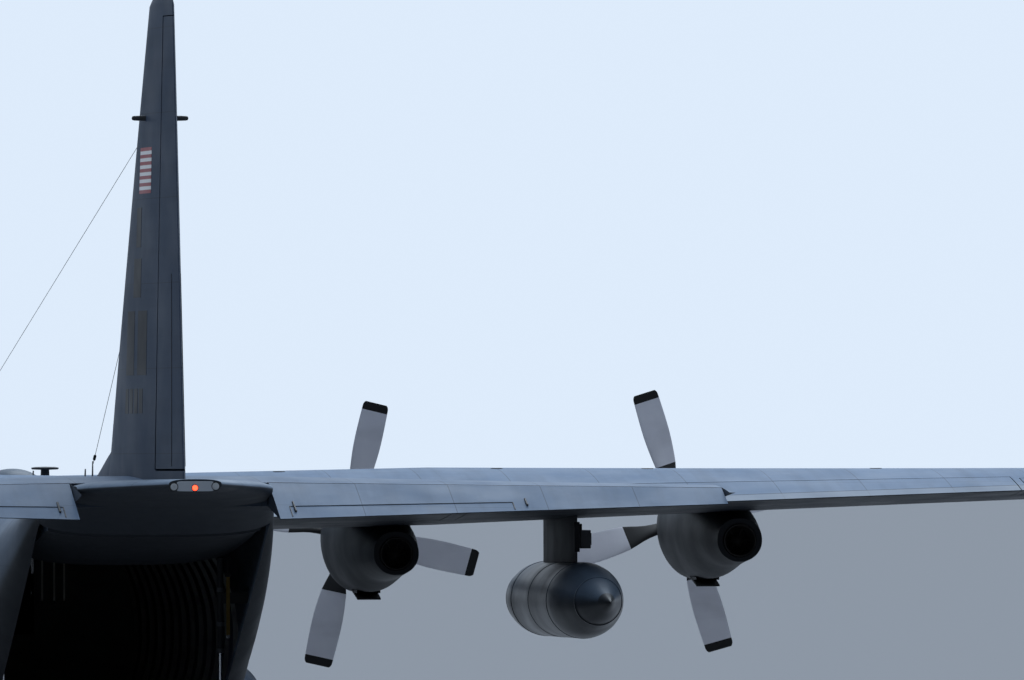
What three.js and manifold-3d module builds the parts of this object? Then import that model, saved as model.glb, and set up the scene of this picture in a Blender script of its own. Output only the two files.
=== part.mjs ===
// Four-engined high-wing military transport plane, parked on its gear with the aft cargo door
// open and the ramp level. Every size below is the real aircraft's, in millimetres, and the whole
// group is then scaled to 1:2.
// x is to the right wing, y is forward, z is up from the ground. Places along the fuselage are
// stations s, measured aft from the tip of the nose.

import * as THREE from "three";
import { mergeVertices } from "three/addons/utils/BufferGeometryUtils.js";
import Module from "manifold-3d";

const wasm = await Module();
wasm.setup();

// Driving dimensions
const MODEL_SCALE = 0.5;
const LENGTH = 29790;
const HALF_SPAN = 20205;
const SEAT_GAP = 1; // between touching pieces
const PIN_GAP = 1.6; // round a pin that turns
const MOVE_GAP = 14; // between moving pieces
const SKIN = 90; // fuselage wall
const FLOOR_Z = 1030;
const RADOME_S = 1220;
const BULKHEAD_S = 6220;
const WING_FRONT_S = 11900;
const WING_REAR_S = 17350;
const RAMP_HINGE_S = 18720;
const RAMP_END_S = 22070;
const DOOR_HINGE_S = 25300;
const RAMP_CLOSED = 25; // degrees above level
const DOOR_OPEN = 21; // degrees up from closed
const OPENING_HALF = 1650;
const RAMP_HALF = 1530;
const DOOR_HALF = 1520;
const WING_JOINT_X = 5590;
const FLAP_ROOT_X = 2250;
const FLAP_END_X = 14230;
const AILERON_END_X = 19700;
const FLAP_FRACTION = 0.72;
const AILERON_FRACTION = 0.76;
const RUDDER_HINGE_S = 27040;
const ELEVATOR_HINGE_S = 26850;
const ELEVATOR_ROOT_X = 1400;
const ELEVATOR_END_X = 7900;
const ELEVATOR_DROOP = 15; // degrees, at the lower stop as parked
const PROP_S = 9500;
const PROP_R = 2057;
const ENGINE_X = [-10160, -4950, 4950, 10160];
const ENGINE_Z = [4030, 3850, 3850, 4030];
const BLADE_TURN = [-22, 31, 13, -16.5]; // degrees to the right from upright, seen from behind
const TANK_X = 7600;
const TANK_Z = 2880;
const MAIN_WHEEL = { x: 2175, r: 690, width: 500, front: 13250, rear: 14800 };
const NOSE_WHEEL = { x: 280, r: 485, width: 320, s: 4250 };

const yOf = (s) => LENGTH / 2 - s;
const rad = THREE.MathUtils.degToRad;

// Solids from three.js geometry and back
function solidOf(geometry) {
  const bare = new THREE.BufferGeometry();
  bare.setAttribute("position", geometry.getAttribute("position"));
  if (geometry.index) bare.setIndex(geometry.index);
  const merged = mergeVertices(bare, 1e-3);
  const triVerts = new Uint32Array(merged.index.array);
  const vertProperties = new Float32Array(merged.attributes.position.array);
  const made = new wasm.Manifold(new wasm.Mesh({ numProp: 3, vertProperties, triVerts }));
  return made;
}

function geometryOf(solid) {
  const mesh = solid.getMesh();
  const geometry = new THREE.BufferGeometry();
  geometry.setAttribute("position", new THREE.BufferAttribute(mesh.vertProperties, 3));
  geometry.setIndex(new THREE.BufferAttribute(mesh.triVerts, 1));
  return geometry;
}

// A closed body through rings of points that all have the same count.
function loft(rings) {
  const count = rings[0].length;
  const positions = [];
  const index = [];
  rings.forEach((ring) => ring.forEach((p) => positions.push(p.x, p.y, p.z)));
  for (let i = 0; i + 1 < rings.length; i++) {
    for (let j = 0; j < count; j++) {
      const a = i * count + j;
      const b = i * count + ((j + 1) % count);
      index.push(a, b, b + count, a, b + count, a + count);
    }
  }
  [0, rings.length - 1].forEach((i) => {
    const middle = new THREE.Vector3();
    rings[i].forEach((p) => middle.addScaledVector(p, 1 / count));
    const centre = positions.length / 3;
    positions.push(middle.x, middle.y, middle.z);
    for (let j = 0; j < count; j++) {
      const a = i * count + j;
      const b = i * count + ((j + 1) % count);
      if (i === 0) index.push(centre, b, a);
      else index.push(centre, a, b);
    }
  });
  const build = (order) => {
    const geometry = new THREE.BufferGeometry();
    geometry.setAttribute("position", new THREE.Float32BufferAttribute(positions, 3));
    geometry.setIndex(order);
    return solidOf(geometry);
  };
  const made = build(index);
  return made.volume() > 0 ? made : build([...index].reverse());
}

function box(x0, x1, s0, s1, z0, z1) {
  const geometry = new THREE.BoxGeometry(x1 - x0, s1 - s0, z1 - z0);
  geometry.translate((x0 + x1) / 2, yOf((s0 + s1) / 2), (z0 + z1) / 2);
  return solidOf(geometry);
}

// A prism across the aircraft: its outline is a list of [s, z].
function sidePrism(outline, x0, x1) {
  const ring = (x) => outline.map(([s, z]) => new THREE.Vector3(x, yOf(s), z));
  return loft([ring(x0), ring(x1)]);
}

// A round bar between two points, with its own radius at each end.
function bar(from, to, r0, r1 = r0, sides = 16) {
  const along = new THREE.Vector3().subVectors(to, from);
  const geometry = new THREE.CylinderGeometry(r1, r0, along.length(), sides);
  const turn = new THREE.Quaternion();
  turn.setFromUnitVectors(new THREE.Vector3(0, 1, 0), along.clone().normalize());
  geometry.applyQuaternion(turn);
  const middle = new THREE.Vector3().addVectors(from, to).multiplyScalar(0.5);
  geometry.translate(middle.x, middle.y, middle.z);
  return solidOf(geometry);
}

const at = (x, s, z) => new THREE.Vector3(x, yOf(s), z);

// Turns a solid by degrees about an axis through a point.
function turned(solid, point, axis, degrees) {
  const turn = new THREE.Matrix4().makeRotationAxis(axis, rad(degrees));
  const matrix = new THREE.Matrix4().makeTranslation(point.x, point.y, point.z);
  matrix.multiply(turn);
  matrix.multiply(new THREE.Matrix4().makeTranslation(-point.x, -point.y, -point.z));
  const geometry = geometryOf(solid);
  geometry.applyMatrix4(matrix);
  return solidOf(geometry);
}

const mirrored = (solid) => solid.mirror([1, 0, 0]);

// A body of revolution along y: its profile is a list of [s, r] that starts and ends on the axis.
function revolved(profile, x, z, segments) {
  const points = profile.map(([s, r]) => new THREE.Vector2(r, yOf(s)));
  const geometry = new THREE.LatheGeometry(points, segments);
  geometry.translate(x, 0, z);
  const made = solidOf(geometry);
  return made.volume() > 0 ? made : solidOf(flipped(geometry));
}

function flipped(geometry) {
  const made = geometry.clone();
  made.setIndex([...geometry.index.array].reverse());
  return made;
}

// Reads a table of rows at any key, straight between rows.
function between(table, key) {
  const last = table.length - 2;
  let i = 0;
  while (i < last && key > table[i + 1][0]) i++;
  const [low, high] = [table[i], table[i + 1]];
  const t = (key - low[0]) / (high[0] - low[0]);
  return low.map((value, k) => value + (high[k] - value) * t);
}

function ovalRing(x, s, halfWidth, top, bottom, middle, powerTop, powerBottom, count) {
  const ring = [];
  for (let i = 0; i < count; i++) {
    const angle = ((i + 0.5) / count) * 2 * Math.PI;
    const [c, d] = [Math.cos(angle), Math.sin(angle)];
    const power = 2 / (d > 0 ? powerTop : powerBottom);
    const height = d > 0 ? top - middle : middle - bottom;
    const px = x + halfWidth * Math.sign(c) * Math.abs(c) ** power;
    const pz = middle + height * Math.sign(d) * Math.abs(d) ** power;
    ring.push(at(px, s, pz));
  }
  return ring;
}

// Fuselage: s, half width, top, bottom, height of the greatest width, roundness above and below
const FUSELAGE = [
  [0, 60, 2080, 1960, 2020, 2, 2],
  [60, 280, 2310, 1760, 2020, 2, 2],
  [220, 550, 2450, 1560, 2010, 2, 2],
  [700, 930, 2660, 1350, 2020, 2, 2],
  [1220, 1190, 2960, 1120, 2050, 2, 2.2],
  [1470, 1320, 3320, 1030, 2080, 2.1, 2.2],
  [1850, 1520, 3750, 925, 2130, 2.2, 2.3],
  [2300, 1720, 4100, 860, 2200, 2.2, 2.4],
  [2900, 1920, 4390, 790, 2300, 2.1, 2.5],
  [3570, 2060, 4510, 740, 2380, 2, 2.6],
  [5500, 2160, 4620, 650, 2450, 2, 2.7],
  [18720, 2160, 4620, 650, 2450, 2, 2.7],
  [20000, 2120, 4630, 1190, 2750, 2.1, 2.8],
  [22070, 2010, 4640, 2240, 3250, 2.3, 3],
  [24000, 1850, 4655, 3260, 3800, 2.6, 3.2],
  [25300, 1700, 4670, 3930, 4250, 3, 3.2],
  [26600, 1500, 4700, 4270, 4470, 3, 2.8],
  [27450, 1410, 4715, 4400, 4560, 3, 2.6],
  [28700, 880, 4720, 4500, 4610, 3, 2.5],
  [29790, 370, 4720, 4570, 4640, 3, 2.5],
];
const FUSELAGE_SIDES = 28;

function fuselageRing(s, inset) {
  const [, half, top, bottom, middle, up, down] = between(FUSELAGE, s);
  // Inside, the ceiling comes down in front of the tailplane's spar.
  const ceiling = inset > 50 ? Math.min(top - inset, 4480 - Math.max(0, s - 22000) * 0.1) : top - inset;
  const widest = Math.min(middle, ceiling - 100);
  return ovalRing(0, s, half - inset, ceiling, bottom + inset, widest, up, down, FUSELAGE_SIDES);
}

// The half width of the fuselage at a height below its greatest width.
function sideX(s, z) {
  const [, half, , bottom, middle, , power] = between(FUSELAGE, s);
  return half * (1 - ((middle - z) / (middle - bottom)) ** power) ** (1 / power);
}

function fuselageBody(s0, s1, inset) {
  const inside = FUSELAGE.map((row) => row[0]).filter((s) => s > s0 + 1 && s < s1 - 1);
  return loft([s0, ...inside, s1].map((s) => fuselageRing(s, inset)));
}

const WELL = { s0: 12430, s1: 15620, x: 1665, top: 1420 }; // main wheel well beside the hold
const LINER_X = 1580;

// The hollow of the hold, narrowed beside the wheel wells.
function holdSpace(s0, s1, inset) {
  const space = fuselageBody(s0, s1, inset);
  const side = box(LINER_X - (inset - SKIN), 2400, WELL.s0 - 80, WELL.s1 + 80, 0, WELL.top + 80);
  return space.subtract(side).subtract(mirrored(side));
}

// Lifting surfaces: a ring is the aerofoil at one place along the span.
function aerofoil(chord, thickness, camber, grow, count = 8) {
  const half = (u) =>
    5 * thickness * chord *
      (0.2969 * Math.sqrt(u) - 0.126 * u - 0.3516 * u ** 2 + 0.2843 * u ** 3 - 0.1036 * u ** 4) +
    6 * u + grow;
  const mean = (u) => 4 * camber * chord * u * (1 - u);
  const points = [];
  for (let i = 0; i <= count; i++) {
    const u = 0.5 + 0.5 * Math.cos((Math.PI * i) / count);
    points.push([u * chord + (i === 0 ? grow : 0) - (i === count ? grow : 0), mean(u) + (i === count ? 0 : half(u))]);
  }
  for (let i = count - 1; i >= 0; i--) {
    const u = 0.5 + 0.5 * Math.cos((Math.PI * i) / count);
    points.push([u * chord + (i === 0 ? grow : 0), mean(u) - half(u)]);
  }
  return points;
}

// Wing: x, leading edge s, chord, thickness ratio, z at 40% chord, incidence in degrees
const WING = [
  [0, 12250, 4880, 0.18, 4240, 3],
  [5590, 12250, 4880, 0.175, 4357, 3],
  [19900, 13000, 2520, 0.12, 4660, 0],
  [20205, 13200, 1900, 0.08, 4666, 0],
];
const WING_CAMBER = 0.014;
const PIVOT = 0.4;

function wingPoint(x, alongChord, up) {
  const [, lead, chord, , z40, incidence] = between(WING, Math.abs(x));
  const aft = alongChord - PIVOT * chord;
  const [c, d] = [Math.cos(rad(incidence)), Math.sin(rad(incidence))];
  return at(x, lead + PIVOT * chord + aft * c + up * d, z40 + up * c - aft * d);
}

function wingRing(x, grow = 0) {
  const [, , chord, ratio] = between(WING, Math.abs(x));
  return aerofoil(chord, ratio, WING_CAMBER, grow).map(([u, v]) => wingPoint(x, u, v));
}

// Tailplane: x, leading edge s, chord, thickness ratio
const TAILPLANE_Z = 4500;
const TAILPLANE = [
  [0, 23850, 4350, 0.12],
  [1300, 23850, 4350, 0.12],
  [7900, 25500, 1960, 0.11],
  [8030, 25750, 1450, 0.08],
];

function tailRing(x, grow = 0) {
  const [, lead, chord, ratio] = between(TAILPLANE, Math.abs(x));
  return aerofoil(chord, ratio, 0, grow).map(([u, v]) => at(x, lead + u, TAILPLANE_Z + v));
}

// Fin: z, leading edge s, chord, thickness ratio
const FIN = [
  [4500, 21935, 6660, 0.13],
  [11400, 25580, 1900, 0.15],
  [11660, 25900, 1300, 0.11],
];
const RUDDER_BASE_Z = 4850;
const RUDDER_TOP_Z = 11240;

function finRing(z, grow = 0) {
  const [, lead, chord, ratio] = between(FIN, z);
  return aerofoil(chord, ratio, 0, grow).map(([u, v]) => at(v, lead + u, z));
}

// Each hinged surface turns on a round nose: these give its centre and its radius at a place.
function aileronNose(x) {
  const [, , chord, ratio] = between(WING, Math.abs(x));
  const u = AILERON_FRACTION;
  const radius = 5 * ratio * chord * 0.0486;
  return { centre: wingPoint(x, u * chord, 4 * WING_CAMBER * chord * u * (1 - u)), radius };
}

function elevatorNose(x) {
  const [, lead, chord, ratio] = between(TAILPLANE, Math.abs(x));
  const points = aerofoil(chord, ratio, 0, 0, 24).slice(0, 25);
  const u = ELEVATOR_HINGE_S - lead;
  const k = points.findIndex((p) => p[0] < u);
  return { centre: at(x, ELEVATOR_HINGE_S, TAILPLANE_Z), radius: points[k][1] - 2 };
}

function rudderNose(z) {
  const [, lead, chord, ratio] = between(FIN, z);
  const points = aerofoil(chord, ratio, 0, 0, 24).slice(0, 25);
  const u = RUDDER_HINGE_S - lead;
  const k = points.findIndex((p) => p[0] < u);
  return { centre: at(0, RUDDER_HINGE_S, z), radius: points[k][1] - 2 };
}

// Cuts a surface at its hinge line into the fixed part and the moving part, with hinge pins
// that stand out of the fixed part into the ends of the moving one.
function hinged(fixed, full, nose, t0, t1, vertical) {
  const [a, b] = [nose(t0), nose(t1)];
  const along = new THREE.Vector3().subVectors(b.centre, a.centre).normalize();
  const block = (from, to, ahead) => {
    const ring = (t) => {
      const { centre } = nose(t);
      const wide = 1500;
      const corners = [[-ahead, -wide], [6000, -wide], [6000, wide], [-ahead, wide]];
      return corners.map(([aft, side]) =>
        vertical
          ? new THREE.Vector3(centre.x + side, centre.y - aft, centre.z)
          : new THREE.Vector3(centre.x, centre.y - aft, centre.z + side),
      );
    };
    return loft([ring(from), ring(to)]);
  };
  const sign = Math.sign(t1 - t0);
  const [m0, m1] = [t0 + sign * MOVE_GAP, t1 - sign * MOVE_GAP];
  const rod = (from, to, more) => {
    const [p, q] = [nose(from), nose(to)];
    return bar(p.centre, q.centre, p.radius + more, q.radius + more, 20);
  };
  let rest = fixed.subtract(block(t0, t1, 0)).subtract(rod(t0, t1, MOVE_GAP));
  let moving = full.intersect(block(m0, m1, 0)).add(rod(m0, m1, 0));
  const reach = 90;
  [[a.centre, a.radius, 1], [b.centre, b.radius, -1]].forEach(([centre, radius, way]) => {
    const r = Math.min(30, radius * 0.5);
    const out = centre.clone().addScaledVector(along, -way * 60);
    const inside = centre.clone().addScaledVector(along, way * reach);
    const deeper = centre.clone().addScaledVector(along, way * (reach + MOVE_GAP));
    rest = rest.add(bar(out, inside, r, r, 12));
    moving = moving.subtract(bar(out, deeper, r + PIN_GAP, r + PIN_GAP, 12));
  });
  return [rest, moving];
}

const parts = new THREE.Group();

function place(name, solid, colour, roughness = 0.6, metalness = 0) {
  const material = new THREE.MeshStandardMaterial({ color: colour, roughness, metalness });
  const mesh = new THREE.Mesh(geometryOf(solid), material);
  mesh.name = name;
  parts.add(mesh);
}

const GREY = 0x7d8894;
const DARK = 0x3a4048;
const TYRE = 0x1b1b1c;
const BLADE = 0xa29f9c;
const STEEL = 0x9aa0a6;
const GLASS = 0x394750;

// Shared cutters
const fuselageGrown = fuselageBody(0, LENGTH, -SEAT_GAP);
const OUTER_X = [WING_JOINT_X, 12000, 19900, HALF_SPAN];
const wingGrown = loft([-WING_JOINT_X, 0, WING_JOINT_X].map((x) => wingRing(x, SEAT_GAP)));
const outerGrown = loft(OUTER_X.map((x) => wingRing(x, SEAT_GAP)));
const tailGrown = loft([-7900, -1300, 1300, 7900].map((x) => tailRing(x, SEAT_GAP))).subtract(
  box(-ELEVATOR_ROOT_X, ELEVATOR_ROOT_X, ELEVATOR_HINGE_S + SEAT_GAP, 29000, 4000, 5000),
);
const elevatorBay = box(ELEVATOR_ROOT_X - 16, 2000, 26600, 29000, 3500, 5200);
const holdOpening = sidePrism(
  [[RAMP_HINGE_S, -100], [DOOR_HINGE_S, -100], [DOOR_HINGE_S, 4180], [RAMP_END_S, 3250], [RAMP_HINGE_S, 2450]],
  -OPENING_HALF,
  OPENING_HALF,
);

// Nose: radome, flight deck with its windows, and what shows through them
// Window: x, s, z of its middle, way that it faces in degrees from ahead, width, height
const WINDOWS = [
  [0, 1700, 3470, 0, 420, 400],
  [480, 1760, 3450, 14, 400, 390],
  [900, 1900, 3400, 38, 360, 380],
  [1250, 2130, 3330, 62, 300, 360],
  [1500, 2380, 3290, 80, 320, 350],
  [1620, 2740, 3270, 86, 330, 350],
  [1330, 2480, 3650, 80, 240, 190],
  [1400, 2790, 3640, 86, 230, 190],
  [860, 1530, 2960, 48, 260, 190],
  [450, 1390, 2990, 18, 300, 170],
];

function windowCutter([x, s, z, faces, width, height]) {
  const geometry = new THREE.BoxGeometry(width, 900, height);
  geometry.rotateZ(rad(-faces));
  geometry.translate(x, yOf(s), z);
  return solidOf(geometry);
}

let windows = windowCutter(WINDOWS[0]);
WINDOWS.slice(1).forEach((row) => {
  const cut = windowCutter(row);
  windows = windows.add(cut).add(mirrored(cut));
});

const NOSE_WELL = { s0: 3450, s1: 5050, x: 680, top: 1480, wall: 50 };
const noseWellCut = box(-NOSE_WELL.x, NOSE_WELL.x, NOSE_WELL.s0, NOSE_WELL.s1, 0, NOSE_WELL.top);
const CREW_DOOR = { s0: 4160, s1: 4940, z0: 1060, z1: 2180, wall: 90 };
const crewCut = box(-2600, -900, CREW_DOOR.s0, CREW_DOOR.s1, CREW_DOOR.z0, CREW_DOOR.z1);
const crewHingeZ = CREW_DOOR.z0 + 70;
const crewHingeEnds = [CREW_DOOR.s0, CREW_DOOR.s1].map((s) => at(-sideX(s, crewHingeZ) + 45, s, crewHingeZ));
function crewPin(r, more) {
  const along = new THREE.Vector3().subVectors(crewHingeEnds[1], crewHingeEnds[0]).normalize();
  const pins = crewHingeEnds.map((end) =>
    bar(end.clone().addScaledVector(along, -70 - more), end.clone().addScaledVector(along, 70 + more), r, r, 10),
  );
  return pins[0].add(pins[1]);
}
const deckWall = CREW_DOOR.wall;
const deckSpace = fuselageBody(1380, BULKHEAD_S + 50, deckWall);

place("radome", fuselageBody(0, RADOME_S, 0), 0x727c88, 0.5);
place(
  "flight_deck",
  fuselageBody(RADOME_S + SEAT_GAP, BULKHEAD_S, 0)
    .subtract(deckSpace)
    .subtract(windows)
    .subtract(noseWellCut)
    .subtract(crewCut)
    .add(crewPin(16, 0)),
  GREY,
);
const glassZone = box(-2200, 2200, 1390, 3000, 2700, 3880);
place(
  "cockpit_glazing",
  fuselageBody(1390, 3200, deckWall + 2.5).subtract(fuselageBody(1300, 3300, deckWall + 22)).intersect(glassZone),
  GLASS,
  0.1,
);

function seat(x, s) {
  const cushion = box(x - 240, x + 240, s, s + 480, 2229, 2680);
  const back = box(x - 240, x + 240, s + 420, s + 540, 2600, 3350);
  return cushion.add(back).add(box(x - 130, x + 130, s + 430, s + 520, 3300, 3520));
}
const deckSlab = fuselageBody(1400, BULKHEAD_S - 2, deckWall + SEAT_GAP).intersect(box(-2200, 2200, 1600, BULKHEAD_S - 2, 2130, 2230));
place(
  "flight_deck_interior",
  deckSlab
    .add(seat(-560, 2750))
    .add(seat(560, 2750))
    .add(box(-170, 170, 2150, 3000, 2229, 2760))
    .add(box(-900, 900, 1960, 2170, 2229, 3000)),
  DARK,
);
place(
  "nose_gear_well",
  box(-730, 730, NOSE_WELL.s0 - 50, NOSE_WELL.s1 + 50, 500, 1540)
    .subtract(box(-NOSE_WELL.x, NOSE_WELL.x, NOSE_WELL.s0, NOSE_WELL.s1, 0, NOSE_WELL.top))
    .intersect(fuselageBody(1400, 5100, deckWall + SEAT_GAP)),
  DARK,
);
const crewDoorPanel = fuselageBody(3900, 5100, 0)
  .subtract(deckSpace)
  .intersect(box(-2600, -900, CREW_DOOR.s0 + 2 * MOVE_GAP, CREW_DOOR.s1 - MOVE_GAP, CREW_DOOR.z0 + 30, CREW_DOOR.z1 - MOVE_GAP));
place("crew_door", crewDoorPanel.subtract(crewPin(16 + PIN_GAP, 14)), GREY);

// Fuselage sections round the hold
place("forward_fuselage", fuselageBody(BULKHEAD_S + SEAT_GAP, WING_FRONT_S, 0).subtract(holdSpace(BULKHEAD_S - 50, WING_FRONT_S + 50, SKIN)), GREY);

const wheelRecess = box(WELL.x, 2600, WELL.s0, WELL.s1, 0, WELL.top);
place(
  "center_fuselage",
  fuselageBody(WING_FRONT_S + SEAT_GAP, WING_REAR_S, 0)
    .subtract(holdSpace(WING_FRONT_S - 50, WING_REAR_S + 50, SKIN))
    .subtract(wingGrown)
    .subtract(wheelRecess)
    .subtract(mirrored(wheelRecess)),
  GREY,
);

const PARA_DOOR = { s0: 17600, s1: 18510, z0: 1120, z1: 2950 };
const paraCut = (gap) => box(1000, 2600, PARA_DOOR.s0 + gap, PARA_DOOR.s1 - gap, PARA_DOOR.z0 + gap, PARA_DOOR.z1 - gap);
const DOOR_AXIS = { s: DOOR_HINGE_S - 130, z: 4085 };
const RAMP_AXIS = { s: RAMP_HINGE_S + 95, z: FLOOR_Z - 60 };
const hingeBlockOutline = [[1546, 925], [1600, 925], [1730, 1120], [1730, 1260], [1546, 1260]];
const hingeBlock = loft([18740, 18890].map((s) => hingeBlockOutline.map(([x, z]) => at(x, s, z))));
const hingePins = (axis, fromX, toX, r) => {
  const one = bar(at(fromX, axis.s, axis.z), at(toX, axis.s, axis.z), r, r, 12);
  return one.add(mirrored(one));
};
const aftShell = fuselageBody(WING_REAR_S + SEAT_GAP, DOOR_HINGE_S, 0)
  .subtract(holdSpace(WING_REAR_S - 50, DOOR_HINGE_S + 20, SKIN))
  .subtract(holdOpening)
  .subtract(paraCut(0))
  .subtract(mirrored(paraCut(0)))
  .subtract(tailGrown);
place(
  "aft_fuselage",
  aftShell.add(hingePins(DOOR_AXIS, OPENING_HALF - 150, OPENING_HALF + 60, 28)).add(hingePins(RAMP_AXIS, RAMP_HALF - 60, 1560, 30)).add(hingeBlock).add(mirrored(hingeBlock)),
  GREY,
);
const paraDoor = fuselageBody(17500, 18600, 0).subtract(fuselageBody(17450, 18650, SKIN)).intersect(paraCut(SEAT_GAP));
place("paratroop_door_right", paraDoor, GREY);
place("paratroop_door_left", mirrored(paraDoor), GREY);
place(
  "tail_cone",
  fuselageBody(DOOR_HINGE_S + SEAT_GAP, LENGTH, 0)
    .subtract(tailGrown)
    .subtract(elevatorBay)
    .subtract(mirrored(elevatorBay))
    .subtract(bar(at(-ELEVATOR_ROOT_X, ELEVATOR_HINGE_S, TAILPLANE_Z), at(ELEVATOR_ROOT_X, ELEVATOR_HINGE_S, TAILPLANE_Z), 34)),
  GREY,
);

const floorSpace = holdSpace(BULKHEAD_S + 110, RAMP_HINGE_S - MOVE_GAP, SKIN + SEAT_GAP);
place("cargo_floor", floorSpace.intersect(box(-2200, 2200, BULKHEAD_S + 110, RAMP_HINGE_S - MOVE_GAP, 600, FLOOR_Z)), 0x565b60);
const bulkhead = holdSpace(BULKHEAD_S + 5, BULKHEAD_S + 105, SKIN + SEAT_GAP);
const passage = box(-1250, -350, BULKHEAD_S - 200, BULKHEAD_S + 300, FLOOR_Z, FLOOR_Z + 1000);
const deckPassage = box(-400, 500, BULKHEAD_S - 200, BULKHEAD_S + 300, 2300, 4000);
place("hold_bulkhead", bulkhead.subtract(passage).subtract(deckPassage), 0x6c7268);

// Ramp and aft cargo door: each is cut from the closed fuselage, then turned as parked.
const rampSlope = Math.tan(rad(RAMP_CLOSED));
const rampTop = (s) => RAMP_AXIS.z + (FLOOR_Z - RAMP_AXIS.z) / Math.cos(rad(RAMP_CLOSED)) + (s - RAMP_AXIS.s) * rampSlope;
const rampEnd = RAMP_END_S - MOVE_GAP;
const rampBlock = sidePrism(
  [[RAMP_HINGE_S + 560, 0], [rampEnd, 0], [rampEnd, rampTop(rampEnd)], [RAMP_HINGE_S + 30, rampTop(RAMP_HINGE_S + 30)]],
  -RAMP_HALF,
  RAMP_HALF,
);
const xAxis = new THREE.Vector3(1, 0, 0);
const ROD = { x: 1594, s: 20200, r: 26, z0: 900, z1: 2760 };
const BARREL = { r: 48, z0: 2180, z1: 3560 };
const rampLug = bar(at(RAMP_HALF - 40, ROD.s, 960), at(ROD.x - ROD.r - 6, ROD.s, 960), 34, 34, 10);
const rampClosed = fuselageBody(18000, 22500, 0).intersect(rampBlock).subtract(hingePins(RAMP_AXIS, RAMP_HALF - 80, RAMP_HALF + 100, 30 + PIN_GAP));
const ramp = turned(rampClosed, at(0, RAMP_AXIS.s, RAMP_AXIS.z), xAxis, RAMP_CLOSED).add(rampLug).add(mirrored(rampLug));
place("ramp", ramp, 0x6a7078);

const doorBlock = box(-DOOR_HALF, DOOR_HALF, RAMP_END_S + MOVE_GAP, DOOR_HINGE_S - 60, 0, 4200);
const doorSkin = fuselageBody(21900, 25500, 0).subtract(fuselageBody(21800, 25600, 0).translate([0, 0, 130]));
const doorClosed = doorSkin.intersect(doorBlock).subtract(hingePins(DOOR_AXIS, DOOR_HALF - 70, DOOR_HALF + 100, 28 + PIN_GAP));
place("aft_cargo_door", turned(doorClosed, at(0, DOOR_AXIS.s, DOOR_AXIS.z), xAxis, DOOR_OPEN), GREY);

const barrelHold = holdSpace(18000, 22000, SKIN + SEAT_GAP);
const bracket = box(ROD.x, 2200, ROD.s - 40, ROD.s + 40, 2900, 3060);
const barrel = bar(at(ROD.x, ROD.s, BARREL.z0), at(ROD.x, ROD.s, BARREL.z1), BARREL.r)
  .add(bracket)
  .subtract(bar(at(ROD.x, ROD.s, BARREL.z0 - 10), at(ROD.x, ROD.s, BARREL.z1 - 30), ROD.r + SEAT_GAP, ROD.r + SEAT_GAP))
  .intersect(barrelHold);
const rod = bar(at(ROD.x, ROD.s, ROD.z0), at(ROD.x, ROD.s, ROD.z1), ROD.r);
[["right", (solid) => solid], ["left", mirrored]].forEach(([side, flip]) => {
  place(`ramp_actuator_${side}`, flip(barrel), DARK);
  place(`ramp_rod_${side}`, flip(rod), STEEL, 0.2, 0.9);
});

// Wing, flaps and ailerons
const flapRing = (from, to, ahead) => {
  const ring = (x) => {
    const [, , chord] = between(WING, Math.abs(x));
    const [front, rear] = [FLAP_FRACTION * chord - ahead, chord + 400];
    return [[front, -900], [rear, -900], [rear, 900], [front, 900]].map(([u, v]) => wingPoint(x, u, v));
  };
  return loft([ring(from), ring(to)]);
};
const flapHinge = (x) => {
  const [, , chord, ratio] = between(WING, Math.abs(x));
  const u = FLAP_FRACTION;
  const low = aerofoil(chord, ratio, WING_CAMBER, 0, 24).slice(25);
  const v = low.find((p) => p[0] > u * chord)[1];
  return wingPoint(x, u * chord + 75, v + 40);
};
function flap(full, x0, x1) {
  const [a, b] = [flapHinge(x0), flapHinge(x1)];
  const along = new THREE.Vector3().subVectors(b, a).normalize();
  let pins = null;
  let holes = null;
  [[a, 1], [b, -1]].forEach(([end, way]) => {
    const out = end.clone().addScaledVector(along, -way * 50);
    const pin = bar(out, end.clone().addScaledVector(along, way * 90), 26, 26, 10);
    const hole = bar(out, end.clone().addScaledVector(along, way * 104), 26 + PIN_GAP, 26 + PIN_GAP, 10);
    pins = pins ? pins.add(pin) : pin;
    holes = holes ? holes.add(hole) : hole;
  });
  const moving = full.intersect(flapRing(x0 + MOVE_GAP, x1 - MOVE_GAP, 0)).subtract(holes);
  return [moving, pins];
}

const centreFull = loft([-WING_JOINT_X, 0, WING_JOINT_X].map((x) => wingRing(x)));
const [innerFlap, innerPins] = flap(centreFull, FLAP_ROOT_X, WING_JOINT_X - 110);
const innerCut = flapRing(FLAP_ROOT_X, WING_JOINT_X - 110, 24);
place(
  "wing_center",
  centreFull.subtract(innerCut).subtract(mirrored(innerCut)).add(innerPins).add(mirrored(innerPins)),
  GREY,
);

const outerFull = loft(OUTER_X.map((x, i) => wingRing(i ? x : x + SEAT_GAP)));
const [outerFlap, outerPins] = flap(outerFull, WING_JOINT_X + 110, FLAP_END_X);
let outerWing = outerFull.subtract(flapRing(WING_JOINT_X + 110, FLAP_END_X, 24)).add(outerPins);
let aileron;
[outerWing, aileron] = hinged(outerWing, outerFull, aileronNose, FLAP_END_X + 110, AILERON_END_X, false);
[["right", (solid) => solid], ["left", mirrored]].forEach(([side, flip]) => {
  place(`wing_outer_${side}`, flip(outerWing), GREY);
  place(`flap_inner_${side}`, flip(innerFlap), GREY);
  place(`flap_outer_${side}`, flip(outerFlap), GREY);
  place(`aileron_${side}`, flip(aileron), GREY);
});

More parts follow.
